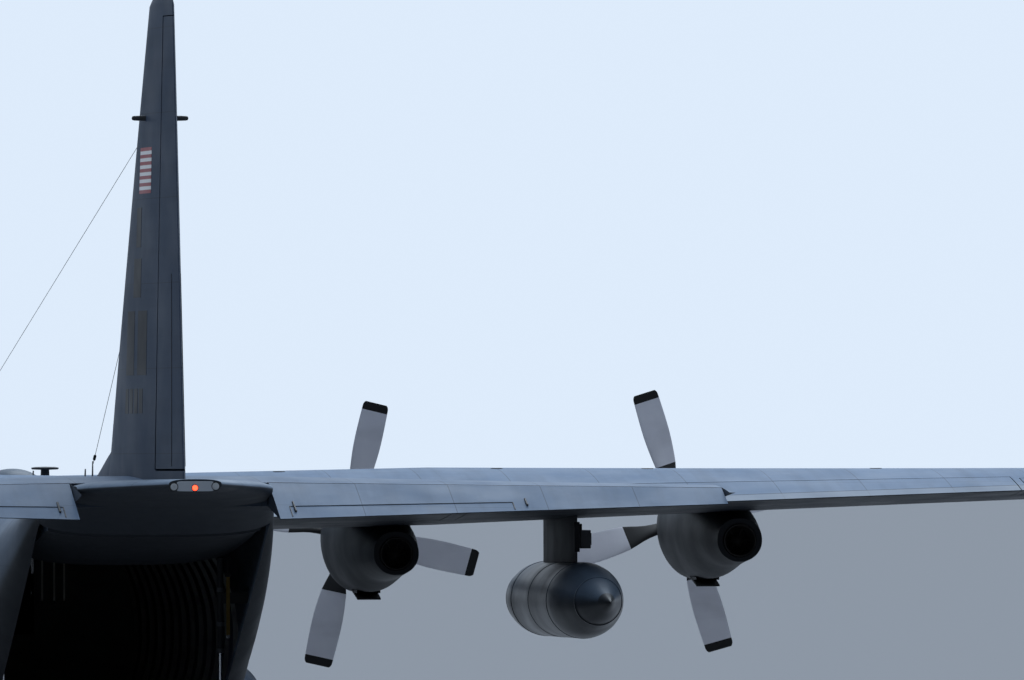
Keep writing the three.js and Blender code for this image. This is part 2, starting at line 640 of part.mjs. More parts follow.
// Tail: the elevators hang at their lower stop.
const tailX = [-8030, -7900, -1300, 1300, 7900, 8030];
const tailFull = loft(tailX.map((x) => tailRing(x)));
let stabilizer = tailFull.subtract(box(-ELEVATOR_ROOT_X, ELEVATOR_ROOT_X, ELEVATOR_HINGE_S, 29000, 4000, 5000));
let elevator;
[stabilizer, elevator] = hinged(stabilizer, tailFull, elevatorNose, ELEVATOR_ROOT_X, ELEVATOR_END_X, false);
[stabilizer] = hinged(stabilizer, tailFull, elevatorNose, -ELEVATOR_ROOT_X, -ELEVATOR_END_X, false);
place("stabilizer", stabilizer, GREY);
const drooped = turned(elevator, at(0, ELEVATOR_HINGE_S, TAILPLANE_Z), xAxis, ELEVATOR_DROOP);
place("elevator_right", drooped, GREY);
place("elevator_left", mirrored(drooped), GREY);

const finFull = loft([4500, 11400, 11660].map((z) => finRing(z)));
// Dorsal fin: half width, s, top
const DORSAL = [
  [10, 17700, 4610],
  [70, 19000, 4820],
  [140, 21000, 5180],
  [150, 22600, 5400],
];
const dorsal = loft(
  DORSAL.map(([half, s, top]) => {
    const corners = [[-half, 4500], [half, 4500], [half * 0.5, top], [-half * 0.5, top]];
    return corners.map(([x, z]) => at(x, s, z));
  }),
);
let fin = finFull.subtract(box(-700, 700, RUDDER_HINGE_S, 29500, 4400, RUDDER_BASE_Z)).add(dorsal);
let rudder;
[fin, rudder] = hinged(fin, finFull, rudderNose, RUDDER_BASE_Z, RUDDER_TOP_Z, true);
place("fin", fin.subtract(fuselageGrown).subtract(tailGrown), GREY);
place("rudder", rudder, GREY);

// Nacelle: aft of the propeller plane, half width, top, bottom, middle, all from the shaft's line
const NACELLE = [
  [170, 370, 380, -520, -40],
  [500, 480, 500, -760, -60],
  [1300, 540, 560, -880, -80],
  [2700, 540, 560, -860, -80],
  [4200, 470, 300, -680, -180],
  [5350, 340, 60, -590, -270],
];
const TAIL_PIPE = { r: 270, depth: 500, drop: 270 };
const SHAFT_R = 90;
const SHAFT_SIDES = 28; // enough for a polygon to turn inside another
const INTAKE = { drop: 400, halfWidth: 250, halfHeight: 90, depth: 260 };

function nacelle(x, z) {
  const rings = NACELLE.map(([aft, half, top, bottom, middle]) =>
    ovalRing(x, PROP_S + aft, half, z + top, z + bottom, z + middle, 2.4, 2.6, 16),
  );
  const end = PROP_S + NACELLE.at(-1)[0];
  const pipe = bar(at(x, end - TAIL_PIPE.depth, z - TAIL_PIPE.drop), at(x, end + 20, z - TAIL_PIPE.drop), TAIL_PIPE.r, TAIL_PIPE.r, 16);
  const front = PROP_S + NACELLE[0][0];
  const mouth = loft(
    [front - 20, front + INTAKE.depth].map((s) =>
      ovalRing(x, s, INTAKE.halfWidth, z - INTAKE.drop + INTAKE.halfHeight, z - INTAKE.drop - INTAKE.halfHeight, z - INTAKE.drop, 3, 2, 12),
    ),
  );
  const shaft = bar(at(x, PROP_S - 40, z), at(x, front + 60, z), SHAFT_R, SHAFT_R, SHAFT_SIDES);
  const body = loft(rings).subtract(pipe).subtract(mouth).add(shaft);
  const outer = x > 0 ? outerGrown : mirrored(outerGrown);
  const kept = body.subtract(Math.abs(x) < WING_JOINT_X ? wingGrown : outer);
  return kept.decompose().sort((a, b) => b.volume() - a.volume())[0];
}

// Blade: radius, chord, thickness, pitch in degrees
const BLADE_TABLE = [
  [240, 190, 150, 48],
  [560, 250, 100, 40],
  [950, 430, 64, 30],
  [1400, 480, 40, 23],
  [PROP_R, 430, 18, 16],
];
const blade = loft(
  BLADE_TABLE.map(([r, chord, thick, pitch]) => {
    const outline = [[-0.5, 0], [-0.2, 0.5], [0.25, 0.42], [0.5, 0], [0.25, -0.42], [-0.2, -0.5]];
    const [c, d] = [Math.cos(rad(pitch)), Math.sin(rad(pitch))];
    return outline.map(([u, v]) => new THREE.Vector3(u * chord * c - v * thick * d, u * chord * d + v * thick * c, r));
  }),
);

const SPINNER = [[8800, 0], [8870, 120], [9080, 250], [9350, 345], [9640, 365], [9640, 0]];

function propeller(x, z, turn) {
  const spinner = revolved(SPINNER, 0, 0, 16);
  let made = spinner.translate([0, -yOf(PROP_S), 0]);
  for (let k = 0; k < 4; k++) {
    made = made.add(blade.rotate([0, turn + 90 * k, 0]));
  }
  const boreR = SHAFT_R + PIN_GAP;
  const bore = bar(new THREE.Vector3(0, -200, 0), new THREE.Vector3(0, 45, 0), boreR, boreR, SHAFT_SIDES);
  return made.subtract(bore).translate([x, yOf(PROP_S), z]);
}

ENGINE_X.forEach((x, i) => {
  place(`nacelle_${i + 1}`, nacelle(x, ENGINE_Z[i]), 0x6f7883);
  place(`propeller_${i + 1}`, propeller(x, ENGINE_Z[i], BLADE_TURN[i]), BLADE);
});

// External tanks under the wing
const TANK = [
  [10300, 0],
  [10360, 95],
  [10700, 290],
  [11400, 470],
  [12500, 568],
  [16000, 568],
  [17200, 380],
  [18200, 130],
  [18600, 0],
];
const tank = revolved(TANK, TANK_X, TANK_Z, 20);
const pylonRing = (z) => aerofoil(2900, 0.1, 0, 0).map(([u, v]) => at(TANK_X + v, 12500 + u, z));
const pylon = loft([pylonRing(3300), pylonRing(4700)])
  .subtract(revolved(TANK.map(([s, r]) => [s, r ? r + SEAT_GAP : 0]), TANK_X, TANK_Z, 20))
  .subtract(outerGrown);
const pylonBody = pylon.decompose().sort((a, b) => a.boundingBox().min[2] - b.boundingBox().min[2])[0];
[["right", (solid) => solid], ["left", mirrored]].forEach(([side, flip]) => {
  place(`tank_${side}`, flip(tank), GREY, 0.45);
  place(`tank_pylon_${side}`, flip(pylonBody), GREY);
});

// Main gear: a pod on each side, two wheels one behind the other, each on its own leg
// Pod: s, half width, top, bottom
const POD_X = 1900;
const POD = [
  [10450, 120, 1350, 950],
  [10900, 450, 1720, 720],
  [11700, 740, 1970, 590],
  [12400, 830, 2050, 545],
  [16000, 830, 2050, 545],
  [17300, 690, 1940, 640],
  [18300, 380, 1650, 860],
  [18900, 80, 1350, 1100],
];
const podFull = loft(POD.map(([s, half, top, bottom]) => ovalRing(POD_X, s, half, top, bottom, (top + bottom) / 2, 2.8, 2.8, 20)));
const podWell = box(1000, 2560, WELL.s0, WELL.s1, 0, WELL.top);
const podSide = box(2500, 3000, WELL.s0, WELL.s1, 0, 980);
const pod = podFull.subtract(fuselageGrown).subtract(podWell).subtract(podSide).subtract(box(-3000, 900, 9000, 19000, 0, 3000));

function wheel(x, s, radius, width, rim, bore) {
  const half = width / 2;
  const side = [
    [0, 0.55],
    [rim * 0.85, 0.55],
    [rim, 0.95],
    [radius * 0.8, 1],
    [radius * 0.94, 0.86],
    [radius, 0.5],
  ];
  const profile = side.map(([r, a]) => [r, -half * a]).concat([...side].reverse().map(([r, a]) => [r, half * a]));
  const geometry = new THREE.LatheGeometry(profile.map(([r, a]) => new THREE.Vector2(r, a)), 20);
  geometry.rotateZ(-Math.PI / 2);
  geometry.translate(x, yOf(s), radius);
  const made = solidOf(geometry);
  return bore ? made.subtract(bore) : made;
}

const LEG_X = 1790;
const AXLE_R = 65;
const podLeg = (s) =>
  bar(at(LEG_X, s, 560), at(LEG_X, s, WELL.top - SEAT_GAP), 88)
    .add(bar(at(LEG_X, s, MAIN_WHEEL.r), at(MAIN_WHEEL.x, s, MAIN_WHEEL.r), AXLE_R, AXLE_R, SHAFT_SIDES));
const legs = podLeg(MAIN_WHEEL.front)
  .add(podLeg(MAIN_WHEEL.rear))
  .add(box(LEG_X - 45, LEG_X + 45, MAIN_WHEEL.front, MAIN_WHEEL.rear, 1180, 1300));
[["right", (solid) => solid], ["left", mirrored]].forEach(([side, flip]) => {
  place(`gear_pod_${side}`, flip(pod), GREY);
  place(`main_gear_legs_${side}`, flip(legs), STEEL, 0.4, 0.5);
  ["front", "rear"].forEach((where) => {
    const s = MAIN_WHEEL[where];
    const boreR = AXLE_R + PIN_GAP;
    const bore = bar(at(LEG_X, s, MAIN_WHEEL.r), at(MAIN_WHEEL.x + 8, s, MAIN_WHEEL.r), boreR, boreR, SHAFT_SIDES);
    place(`main_wheel_${where}_${side}`, flip(wheel(MAIN_WHEEL.x, s, MAIN_WHEEL.r, MAIN_WHEEL.width, 280, bore)), TYRE, 0.9);
  });
});

// Nose gear: a fixed leg, a steered fork and twin wheels on one axle
const FORK_TOP_Z = 900;
const noseLeg = bar(at(0, NOSE_WHEEL.s, FORK_TOP_Z + 10), at(0, NOSE_WHEEL.s, NOSE_WELL.top - SEAT_GAP), 95)
  .add(box(-60, 60, NOSE_WHEEL.s - 500, NOSE_WHEEL.s, 1330, NOSE_WELL.top - SEAT_GAP))
  .add(bar(at(0, NOSE_WHEEL.s, FORK_TOP_Z - 90), at(0, NOSE_WHEEL.s, FORK_TOP_Z + 40), 45));
place("nose_gear_leg", noseLeg, STEEL, 0.4, 0.5);
const fork = bar(at(0, NOSE_WHEEL.s, 380), at(0, NOSE_WHEEL.s, FORK_TOP_Z), 80)
  .add(bar(at(0, NOSE_WHEEL.s, 640), at(0, NOSE_WHEEL.s, 700), 100))
  .subtract(bar(at(0, NOSE_WHEEL.s, FORK_TOP_Z - 100), at(0, NOSE_WHEEL.s, FORK_TOP_Z + 10), 45 + PIN_GAP))
  .subtract(bar(at(-200, NOSE_WHEEL.s, NOSE_WHEEL.r), at(200, NOSE_WHEEL.s, NOSE_WHEEL.r), 40 + PIN_GAP));
place("nose_gear_fork", fork, STEEL, 0.4, 0.5);
const noseWheel = wheel(NOSE_WHEEL.x, NOSE_WHEEL.s, NOSE_WHEEL.r, NOSE_WHEEL.width, 210, null);
const noseAxle = bar(at(-NOSE_WHEEL.x, NOSE_WHEEL.s, NOSE_WHEEL.r), at(NOSE_WHEEL.x, NOSE_WHEEL.s, NOSE_WHEEL.r), 40);
place("nose_wheels", noseWheel.add(mirrored(noseWheel)).add(noseAxle), TYRE, 0.9);

parts.scale.setScalar(MODEL_SCALE);

export default parts;
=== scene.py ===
# Military transport plane at 1:2, parked on its gear with its rear ramp open.
import math

import bmesh
import bpy
from mathutils import Matrix, Vector
from mathutils.bvhtree import BVHTree


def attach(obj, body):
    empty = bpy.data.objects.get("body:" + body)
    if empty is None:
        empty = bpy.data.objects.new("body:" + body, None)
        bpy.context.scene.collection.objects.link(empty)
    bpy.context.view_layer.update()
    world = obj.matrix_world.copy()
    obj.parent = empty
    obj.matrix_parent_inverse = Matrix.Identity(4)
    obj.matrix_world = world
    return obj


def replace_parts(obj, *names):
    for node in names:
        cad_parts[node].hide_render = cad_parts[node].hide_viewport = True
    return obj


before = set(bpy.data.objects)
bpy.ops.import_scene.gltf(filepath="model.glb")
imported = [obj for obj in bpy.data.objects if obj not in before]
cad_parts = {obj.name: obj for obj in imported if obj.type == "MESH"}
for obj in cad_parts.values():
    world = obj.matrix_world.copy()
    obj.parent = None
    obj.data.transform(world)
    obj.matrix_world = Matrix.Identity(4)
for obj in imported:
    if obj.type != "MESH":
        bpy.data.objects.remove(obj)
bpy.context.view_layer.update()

# Places are written in real millimetres: x to the right, s aft of the nose, z above the ground.
SCALE = 0.0005
LENGTH = 29790.0
UP = Vector((0, 0, 1))
SIDES = (("right", 1), ("left", -1))


def at(x, s, z):
    return Vector((x, LENGTH / 2 - s, z)) * SCALE


def circle(x, s, z, r, sides, plane="xz"):
    """Points round a centre, in the plane of the two named axes."""
    points = []
    for k in range(sides):
        turn = 2 * math.pi * k / sides
        place = {"x": x, "s": s, "z": z}
        place[plane[0]] += r * math.cos(turn)
        place[plane[1]] += r * math.sin(turn)
        points.append(at(**place))
    return points


# Camera at the photograph's place: far behind, a little to the left, looking along the nose
CAMERA_PLACE = (-12.6514, -105.7760, 2.4565)
CAMERA_YAW = 0.150154
CAMERA_PITCH = 0.00870148
CAMERA_ROLL = -0.0031838
CAMERA_LENS = 502.24
CAMERA_SENSOR = 36.0
CAMERA_REACH = 1000.0


def add_camera():
    ahead = Vector((
        math.sin(CAMERA_YAW) * math.cos(CAMERA_PITCH),
        math.cos(CAMERA_YAW) * math.cos(CAMERA_PITCH),
        math.sin(CAMERA_PITCH),
    ))
    level = Vector((math.cos(CAMERA_YAW), -math.sin(CAMERA_YAW), 0.0))
    above = level.cross(ahead)
    right = level * math.cos(CAMERA_ROLL) + above * math.sin(CAMERA_ROLL)
    up = right.cross(ahead)
    data = bpy.data.cameras.new("camera")
    data.lens = CAMERA_LENS
    data.sensor_width = CAMERA_SENSOR
    data.clip_end = CAMERA_REACH
    camera = bpy.data.objects.new("camera", data)
    turn = Matrix((right, up, -ahead)).transposed().to_4x4()
    camera.matrix_world = Matrix.Translation(CAMERA_PLACE) @ turn
    bpy.context.collection.objects.link(camera)
    bpy.context.scene.camera = camera


add_camera()


# Tables of rows: read at any key along a smooth curve that never overshoots a row
class Table:
    def __init__(self, rows):
        self.keys = [row[0] for row in rows]
        self.columns = list(zip(*[row[1:] for row in rows]))
        self.slopes = [self._slopes(column) for column in self.columns]

    def _slopes(self, values):
        keys = self.keys
        rises = [(b - a) / (k1 - k0) for a, b, k0, k1 in zip(values, values[1:], keys, keys[1:])]
        inner = [0.0 if a * b <= 0 else 2 * a * b / (a + b) for a, b in zip(rises, rises[1:])]
        return [rises[0], *inner, rises[-1]]

    def __call__(self, key):
        keys = self.keys
        i = 0
        while i < len(keys) - 2 and key > keys[i + 1]:
            i += 1
        span = keys[i + 1] - keys[i]
        t = min(1.0, max(0.0, (key - keys[i]) / span))
        values = []
        for column, slopes in zip(self.columns, self.slopes):
            a, b, m0, m1 = column[i], column[i + 1], slopes[i] * span, slopes[i + 1] * span
            values.append(
                a * (2 * t**3 - 3 * t**2 + 1) + m0 * (t**3 - 2 * t**2 + t)
                + b * (3 * t**2 - 2 * t**3) + m1 * (t**3 - t**2)
            )
        return values


def steps(first, last, count):
    return [first + (last - first) * i / count for i in range(count + 1)]


# Shapes: each gathers points and faces, then becomes one piece
class Shape:
    def __init__(self):
        self.verts = []
        self.faces = []
        self.paints = []

    def face(self, indices, paint=0):
        self.faces.append(tuple(indices))
        self.paints.append(paint)

    def loft(self, rings, paint=0, caps=True):
        """Joins each ring of points to the next; paint is one number or a choice by ring."""
        paint_of = paint if callable(paint) else (lambda i: paint)
        base = len(self.verts)
        n = len(rings[0])
        for ring in rings:
            self.verts.extend(Vector(p) for p in ring)
        for i in range(len(rings) - 1):
            for k in range(n):
                a, b = base + i * n + k, base + i * n + (k + 1) % n
                self.face((a, b, b + n, a + n), paint_of(i))
        if caps:
            self.face([base + k for k in reversed(range(n))], paint_of(0))
            last = base + (len(rings) - 1) * n
            self.face([last + k for k in range(n)], paint_of(len(rings) - 2))
        return self

    def lathe(self, profile, x, z, sides=48, paint=0):
        """A round body along the flight direction; profile rows are s and radius."""
        return self.loft([circle(x, s, z, max(r, 0.5), sides) for s, r in profile], paint)

    def disc(self, profile, x, s, z, sides, paint=0, caps=True):
        """A round body across the aircraft; profile rows are x and radius."""
        return self.loft([circle(x + dx, s, z, max(r, 0.5), sides, "sz") for dx, r in profile], paint, caps)

    def upright(self, rows, x, s, sides=32, paint=0):
        """A round body on a vertical line; rows are height and radius."""
        return self.loft([circle(x, s, z, r, sides, "xs") for z, r in rows], paint)

    def prism(self, outline, shift, paint=0):
        """A body between an outline and its shifted copy."""
        shift = Vector(shift)
        outline = [Vector(p) for p in outline]
        return self.loft([outline, [p + shift for p in outline]], paint)

    def block(self, low, high, paint=0):
        """A box between two corners given as x, s, z."""
        (x0, s0, z0), (x1, s1, z1) = low, high
        outline = [at(x0, s0, z0), at(x1, s0, z0), at(x1, s0, z1), at(x0, s0, z1)]
        return self.prism(outline, at(0, s1, 0) - at(0, s0, 0), paint)

    def tube(self, points, radius, sides=8, paint=0):
        """A round bar through points; radius is one number or one for each point, in real millimetres."""
        radii = radius if isinstance(radius, list) else [radius] * len(points)
        rings = []
        for i, p in enumerate(points):
            along = (points[min(i + 1, len(points) - 1)] - points[max(i - 1, 0)]).normalized()
            side = along.cross(UP if abs(along.z) < 0.9 else Vector((1, 0, 0))).normalized()
            other = along.cross(side)
            turns = [2 * math.pi * k / sides for k in range(sides)]
            r = radii[i] * SCALE
            rings.append([p + (side * math.cos(t) + other * math.sin(t)) * r for t in turns])
        return self.loft(rings, paint)

    def mirrored(self):
        """Adds a copy of everything so far on the other side."""
        base = len(self.verts)
        self.verts += [Vector((-v.x, v.y, v.z)) for v in self.verts]
        for face, paint in list(zip(self.faces, self.paints)):
            self.face([base + i for i in reversed(face)], paint)
        return self

    def make(self, name, materials, body="airframe", slot="grey_paint", angle=35, bevel=0.0):
        mesh = bpy.data.meshes.new(name)
        mesh.from_pydata(self.verts, [], self.faces)
        for material in materials if isinstance(materials, list) else [materials]:
            mesh.materials.append(material)
        mesh.polygons.foreach_set("material_index", self.paints)
        tidy_mesh(mesh)
        smooth(mesh, angle)
        obj = bpy.data.objects.new(name, mesh)
        bpy.context.collection.objects.link(obj)
        if bevel:
            rounding = obj.modifiers.new("rounding", "BEVEL")
            rounding.width = bevel * SCALE
            rounding.segments = 2
            rounding.limit_method = "ANGLE"
        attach(obj, body)
        return obj


def boxes(rows):
    """A shape of boxes; each row is a low corner, a high corner and sometimes a paint."""
    shape = Shape()
    for row in rows:
        shape.block(*row)
    return shape


def tidy_mesh(mesh):
    """Joins points that lie together and turns every face outwards."""
    bm = bmesh.new()
    bm.from_mesh(mesh)
    bmesh.ops.remove_doubles(bm, verts=bm.verts, dist=1e-6)
    bmesh.ops.recalc_face_normals(bm, faces=bm.faces)
    bm.to_mesh(mesh)
    bm.free()


def smooth(mesh, angle):
    mesh.polygons.foreach_set("use_smooth", [True] * len(mesh.polygons))
    mesh.set_sharp_from_angle(angle=math.radians(angle))


def cut(obj, cutter, how="DIFFERENCE"):
    """Cuts a piece by a shape, then throws the shape away."""
    mesh = bpy.data.meshes.new("cutter")
    mesh.from_pydata(cutter.verts, [], cutter.faces)
    tidy_mesh(mesh)
    tool = bpy.data.objects.new("cutter", mesh)
    bpy.context.collection.objects.link(tool)
    change = obj.modifiers.new("cut", "BOOLEAN")
    change.operation = how
    change.solver = "EXACT"
    change.object = tool
    shown = obj.evaluated_get(bpy.context.evaluated_depsgraph_get())
    result = bpy.data.meshes.new_from_object(shown)
    obj.modifiers.remove(change)
    old = obj.data
    obj.data = result
    result.name = old.name
    bpy.data.meshes.remove(old)
    bpy.data.objects.remove(tool)
    bpy.data.meshes.remove(mesh)


# Materials
def add_node(tree, kind, inputs=None, **settings):
    """Adds a shader node, sets its properties, and fills or links its inputs."""
    node = tree.nodes.new(kind)
    for key, value in settings.items():
        setattr(node, key, value)
    for socket, value in (inputs or {}).items():
        if isinstance(value, bpy.types.NodeSocket):
            tree.links.new(value, node.inputs[socket])
        else:
            node.inputs[socket].default_value = value
    return node


class Paint:
    """Builds the nodes of one material around its shader."""

    def __init__(self, name, colour, rough=0.5, metal=0.0):
        self.material = bpy.data.materials.new(name)
        self.material.use_nodes = True
        self.tree = self.material.node_tree
        self.shader = self.tree.nodes["Principled BSDF"]
        self.set("Metallic", metal)
        self.rough = rough
        self.place = self.node("ShaderNodeTexCoord").outputs["Object"]
        self.colour = self.mix(0.0, (*colour, 1), (*colour, 1))
        self.height = None

    def set(self, socket, value):
        self.shader.inputs[socket].default_value = value

    def node(self, kind, inputs=None, **settings):
        return add_node(self.tree, kind, inputs, **settings)

    def mix(self, share, below, above):
        return self.node("ShaderNodeMix", {0: share, 6: below, 7: above}, data_type="RGBA").outputs[2]

    def math(self, kind, *values):
        return self.node("ShaderNodeMath", dict(enumerate(values)), operation=kind).outputs[0]

    def axis(self, letter):
        return self.node("ShaderNodeSeparateXYZ", {0: self.place}).outputs[letter]

    def fit(self, value, low, high, how="LINEAR"):
        """Runs from 0 at the low value to 1 at the high value."""
        inputs = {"Value": value, "From Min": low, "From Max": high}
        return self.node("ShaderNodeMapRange", inputs, interpolation_type=how).outputs[0]

    def ramp(self, value, low, high):
        return self.fit(value, low, high, "SMOOTHSTEP")

    def noise(self, scale, stretch=(1, 1, 1), detail=4.0, low=0.35, high=0.65):
        spread = self.node("ShaderNodeMapping", {"Vector": self.place, "Scale": stretch}).outputs["Vector"]
        cloud = self.node("ShaderNodeTexNoise", {"Vector": spread, "Scale": scale, "Detail": detail})
        return self.fit(cloud.outputs["Fac"], low, high)

    def facing(self, start, end):
        """Runs from 0 to 1 between two values of the surface normal's height."""
        normal = self.node("ShaderNodeNewGeometry").outputs["Normal"]
        return self.ramp(self.node("ShaderNodeSeparateXYZ", {0: normal}).outputs["Z"], start, end)

    def tint(self, mask, colour, share):
        """Lays a colour over the paint where the mask is high."""
        self.colour = self.mix(self.math("MULTIPLY", mask, share), self.colour, (*colour, 1))

    def raise_by(self, mask, amount):
        part = self.math("MULTIPLY", mask, amount)
        self.height = part if self.height is None else self.math("ADD", self.height, part)

    def lines(self, letter, spacing, offset=0.0, width=0.004):
        """A thin line at each multiple of the spacing along an axis, in metres."""
        place = self.math("DIVIDE", self.math("SUBTRACT", self.axis(letter), offset), spacing)
        near = self.math("ABSOLUTE", self.math("SUBTRACT", self.math("FRACT", place), 0.5))
        return self.math("GREATER_THAN", near, 0.5 - width / spacing / 2)

    def done(self, vary=0.08, bump=0.3, grain=90.0):
        """Joins colour, roughness and bump to the shader."""
        worn = self.noise(2.2, low=0.3, high=0.7)
        rough = self.math("MULTIPLY_ADD", worn, 2 * vary, self.rough - vary)
        self.raise_by(self.noise(grain, detail=2.0), 0.0002)
        relief = self.node("ShaderNodeBump", {"Strength": bump, "Distance": 1.0, "Height": self.height})
        joined = (("Base Color", self.colour), ("Roughness", rough), ("Normal", relief.outputs["Normal"]))
        for socket, value in joined:
            self.tree.links.new(value, self.shader.inputs[socket])
        return self.material


# The hull's grey, set darker than the real paint as painted shade on its sides
SKIN_COLOUR = (0.080, 0.104, 0.140)
DIRT = (0.024, 0.028, 0.034)
SHADE_AND_SOOT = (0.010, 0.011, 0.013)
PALE_EDGE = (0.210, 0.235, 0.270)
SKYLIT_TOP = (0.120, 0.165, 0.235)
# Heights of the surface's normal between which the painted shade below begins and is full
UNDERSIDE = (0.22, -0.40)
LOW_SIDE = (0.40, -0.10)
CONE_SIDE = (0.30, -0.05)
# The last pair: heights of the normal between which the painted light on top begins and is full
UPPER_SIDE = (0.35, 0.92)


def mixed(colour, factor, more=0.0):
    return tuple(c * factor + more for c in colour)


def skin(name, colour=SKIN_COLOUR, ribs=(), rough=0.62, streak=(7, 0.5, 9), dirt=0.30, belly=0.94, gloss=0.12,
         under=UNDERSIDE, top=None, more=None):
    """Matt aircraft paint: faded patches, streaks along the airflow, panel lines, painted light on top where
    a top colour is given, and painted shade on the underside.
    """
    paint = Paint(name, colour, rough)
    paint.set("Specular IOR Level", gloss)
    faded = mixed(colour, 1.35, 0.006)
    # Painted light: surfaces facing up are lightened and blued, as if lit from the sky
    if top:
        paint.tint(paint.facing(*UPPER_SIDE), top, 0.8)
    paint.tint(paint.noise(0.55, low=0.40, high=0.75), faded, 0.45)
    paint.tint(paint.noise(1.0, streak, low=0.45, high=0.85), mixed(colour, 0.25), dirt)
    paint.tint(paint.noise(9.0, low=0.55, high=0.85), faded, 0.35)
    for letter, spacing, offset, width, share in ribs:
        seam = paint.lines(letter, spacing, offset, width)
        paint.tint(seam, DIRT, share)
        paint.raise_by(seam, -0.0012)
    if more:
        more(paint)
    # Painted shade: surfaces that face down, and for some skins also sideways, are darkened towards near
    # black
    paint.tint(paint.facing(*under), SHADE_AND_SOOT, belly)
    return paint.done()


# The wing's trailing edge: lengths along the aircraft in real millimetres, X and Y in model metres
EDGE_S = 17130.0
EDGE_SWEEP = -225.0  # the change for each model metre outboard of the joint
EDGE_JOINT_X = 2.795
EDGE_STRIP = 300.0
EDGE_SEAM = (318.0, 20.0)  # its middle and its half width
TAIL_FROM_Y = -1.4


def wing_edge(paint):
    """A paler strip along the trailing edge with a dark seam in front of it."""
    s = paint.math("MULTIPLY_ADD", paint.axis("Y"), -1 / SCALE, LENGTH / 2)
    from_joint = paint.math("SUBTRACT", paint.math("ABSOLUTE", paint.axis("X")), EDGE_JOINT_X)
    edge = paint.math("MULTIPLY_ADD", paint.math("MAXIMUM", from_joint, 0.0), EDGE_SWEEP, EDGE_S)
    ahead = paint.math("SUBTRACT", edge, s)
    on_wing = paint.math("GREATER_THAN", paint.axis("Y"), TAIL_FROM_Y)
    strip = paint.math("LESS_THAN", ahead, EDGE_STRIP)
    paint.tint(paint.math("MULTIPLY", strip, on_wing), PALE_EDGE, 0.55)
    middle, half = EDGE_SEAM
    seam = paint.math("LESS_THAN", paint.math("ABSOLUTE", paint.math("SUBTRACT", ahead, middle)), half)
    paint.tint(paint.math("MULTIPLY", seam, on_wing), DIRT, 0.55)


# Places on the tanks and nacelles in model metres
TANK_DARK_BAND_Y = -0.40
TANK_DARK_BAND_HALF = 0.15
TANK_TIP_Y = -1.66
SOOT_AND_SHADOW_Y = (0.95, 0.15)
SOOT_PATCHES_Y = (0.5, 0.0)
SOOT_AND_SHADOW_Z = (1.52, 1.78)


def tank_bands(paint):
    """A broad dark band ahead of the tail cone, and darker towards the tip."""
    y = paint.axis("Y")
    away = paint.math("ABSOLUTE", paint.math("SUBTRACT", y, TANK_DARK_BAND_Y))
    paint.tint(paint.math("LESS_THAN", away, TANK_DARK_BAND_HALF), DIRT, 0.55)
    paint.tint(paint.math("LESS_THAN", y, TANK_TIP_Y), SHADE_AND_SOOT, 0.9)


def soot_and_wing_shadow(paint):
    """Soot that thickens towards the tailpipe; the upper half is darkest, where the dark also stands for the
    wing's shadow as painted shade.
    """
    y = paint.axis("Y")
    high = paint.ramp(paint.axis("Z"), *SOOT_AND_SHADOW_Z)
    # Soot together with the wing's painted shadow: the upper half darkens towards the tailpipe
    paint.tint(paint.math("MULTIPLY", paint.ramp(y, *SOOT_AND_SHADOW_Y), high), SHADE_AND_SOOT, 0.9)
    patches = paint.noise(4.0, low=0.3, high=0.6)
    paint.tint(paint.math("MULTIPLY", paint.ramp(y, *SOOT_PATCHES_Y), patches), SHADE_AND_SOOT, 0.5)


def plain(name, colour, rough=0.5, metal=0.0, dirt=0.3, faded=0.15, scale=6.0):
    """A worn single-colour finish for small parts."""
    paint = Paint(name, colour, rough, metal)
    if not metal:
        paint.set("Specular IOR Level", 0.25)
    light = tuple(min(1.0, c) for c in mixed(colour, 1.5, 0.02))
    paint.tint(paint.noise(scale, low=0.45, high=0.8), light, faded)
    paint.tint(paint.noise(scale * 0.4, (1, 1, 2.5), low=0.5, high=0.8), mixed(colour, 0.35), dirt)
    return paint.done()


HULL_RIBS = (("Y", 0.508, 0.10, 0.007, 0.45), ("Z", 0.42, 0.06, 0.006, 0.32))
WING_RIBS = (("X", 0.66, 0.0, 0.007, 0.42), ("Y", 0.55, 0.21, 0.006, 0.32))
FIN_RIBS = (("Z", 0.60, 0.14, 0.007, 0.42), ("Y", 0.62, 0.10, 0.006, 0.28))

# One grey paint in lit and shaded copies: wing, tailplane and beavertail lighter and bluer as painted
# skylight; fin, nacelles, tanks and pylons darker as painted shade
HULL = skin("hull_grey", ribs=HULL_RIBS, top=SKYLIT_TOP)
TAIL_CONE = skin("beavertail_grey_skylit", (0.150, 0.200, 0.270), HULL_RIBS, under=CONE_SIDE)
WING = skin("wing_grey_skylit", (0.112, 0.165, 0.250), WING_RIBS, streak=(8, 0.6, 2), under=LOW_SIDE, more=wing_edge)
FIN = skin("fin_grey_shaded", (0.034, 0.050, 0.080), FIN_RIBS, streak=(2, 0.5, 9), belly=0.3)
NACELLE = skin("nacelle_grey_shaded", (0.034, 0.043, 0.054), (("Y", 0.36, 0.05, 0.006, 0.40),), dirt=0.55,
               under=LOW_SIDE, more=soot_and_wing_shadow)
TANK = skin("tank_grey_shaded", (0.044, 0.062, 0.088), (("Y", 0.90, 0.30, 0.006, 0.45),), rough=0.42, gloss=0.14,
            under=LOW_SIDE, more=tank_bands)
PYLON_RIBS = (("Z", 0.22, 0.05, 0.005, 0.4), ("Y", 0.40, 0.1, 0.005, 0.4))
PYLON = skin("pylon_grey_shaded", (0.014, 0.017, 0.022), PYLON_RIBS)
RADOME = skin("radome_grey", (0.080, 0.104, 0.138), rough=0.45, dirt=0.18)
POD = skin("pod_grey", (0.078, 0.098, 0.130), (("Y", 0.45, 0.0, 0.004, 0.3),), dirt=0.45, top=SKYLIT_TOP)
RAMP = plain("ramp_grey", (0.115, 0.122, 0.130), 0.62, dirt=0.6)
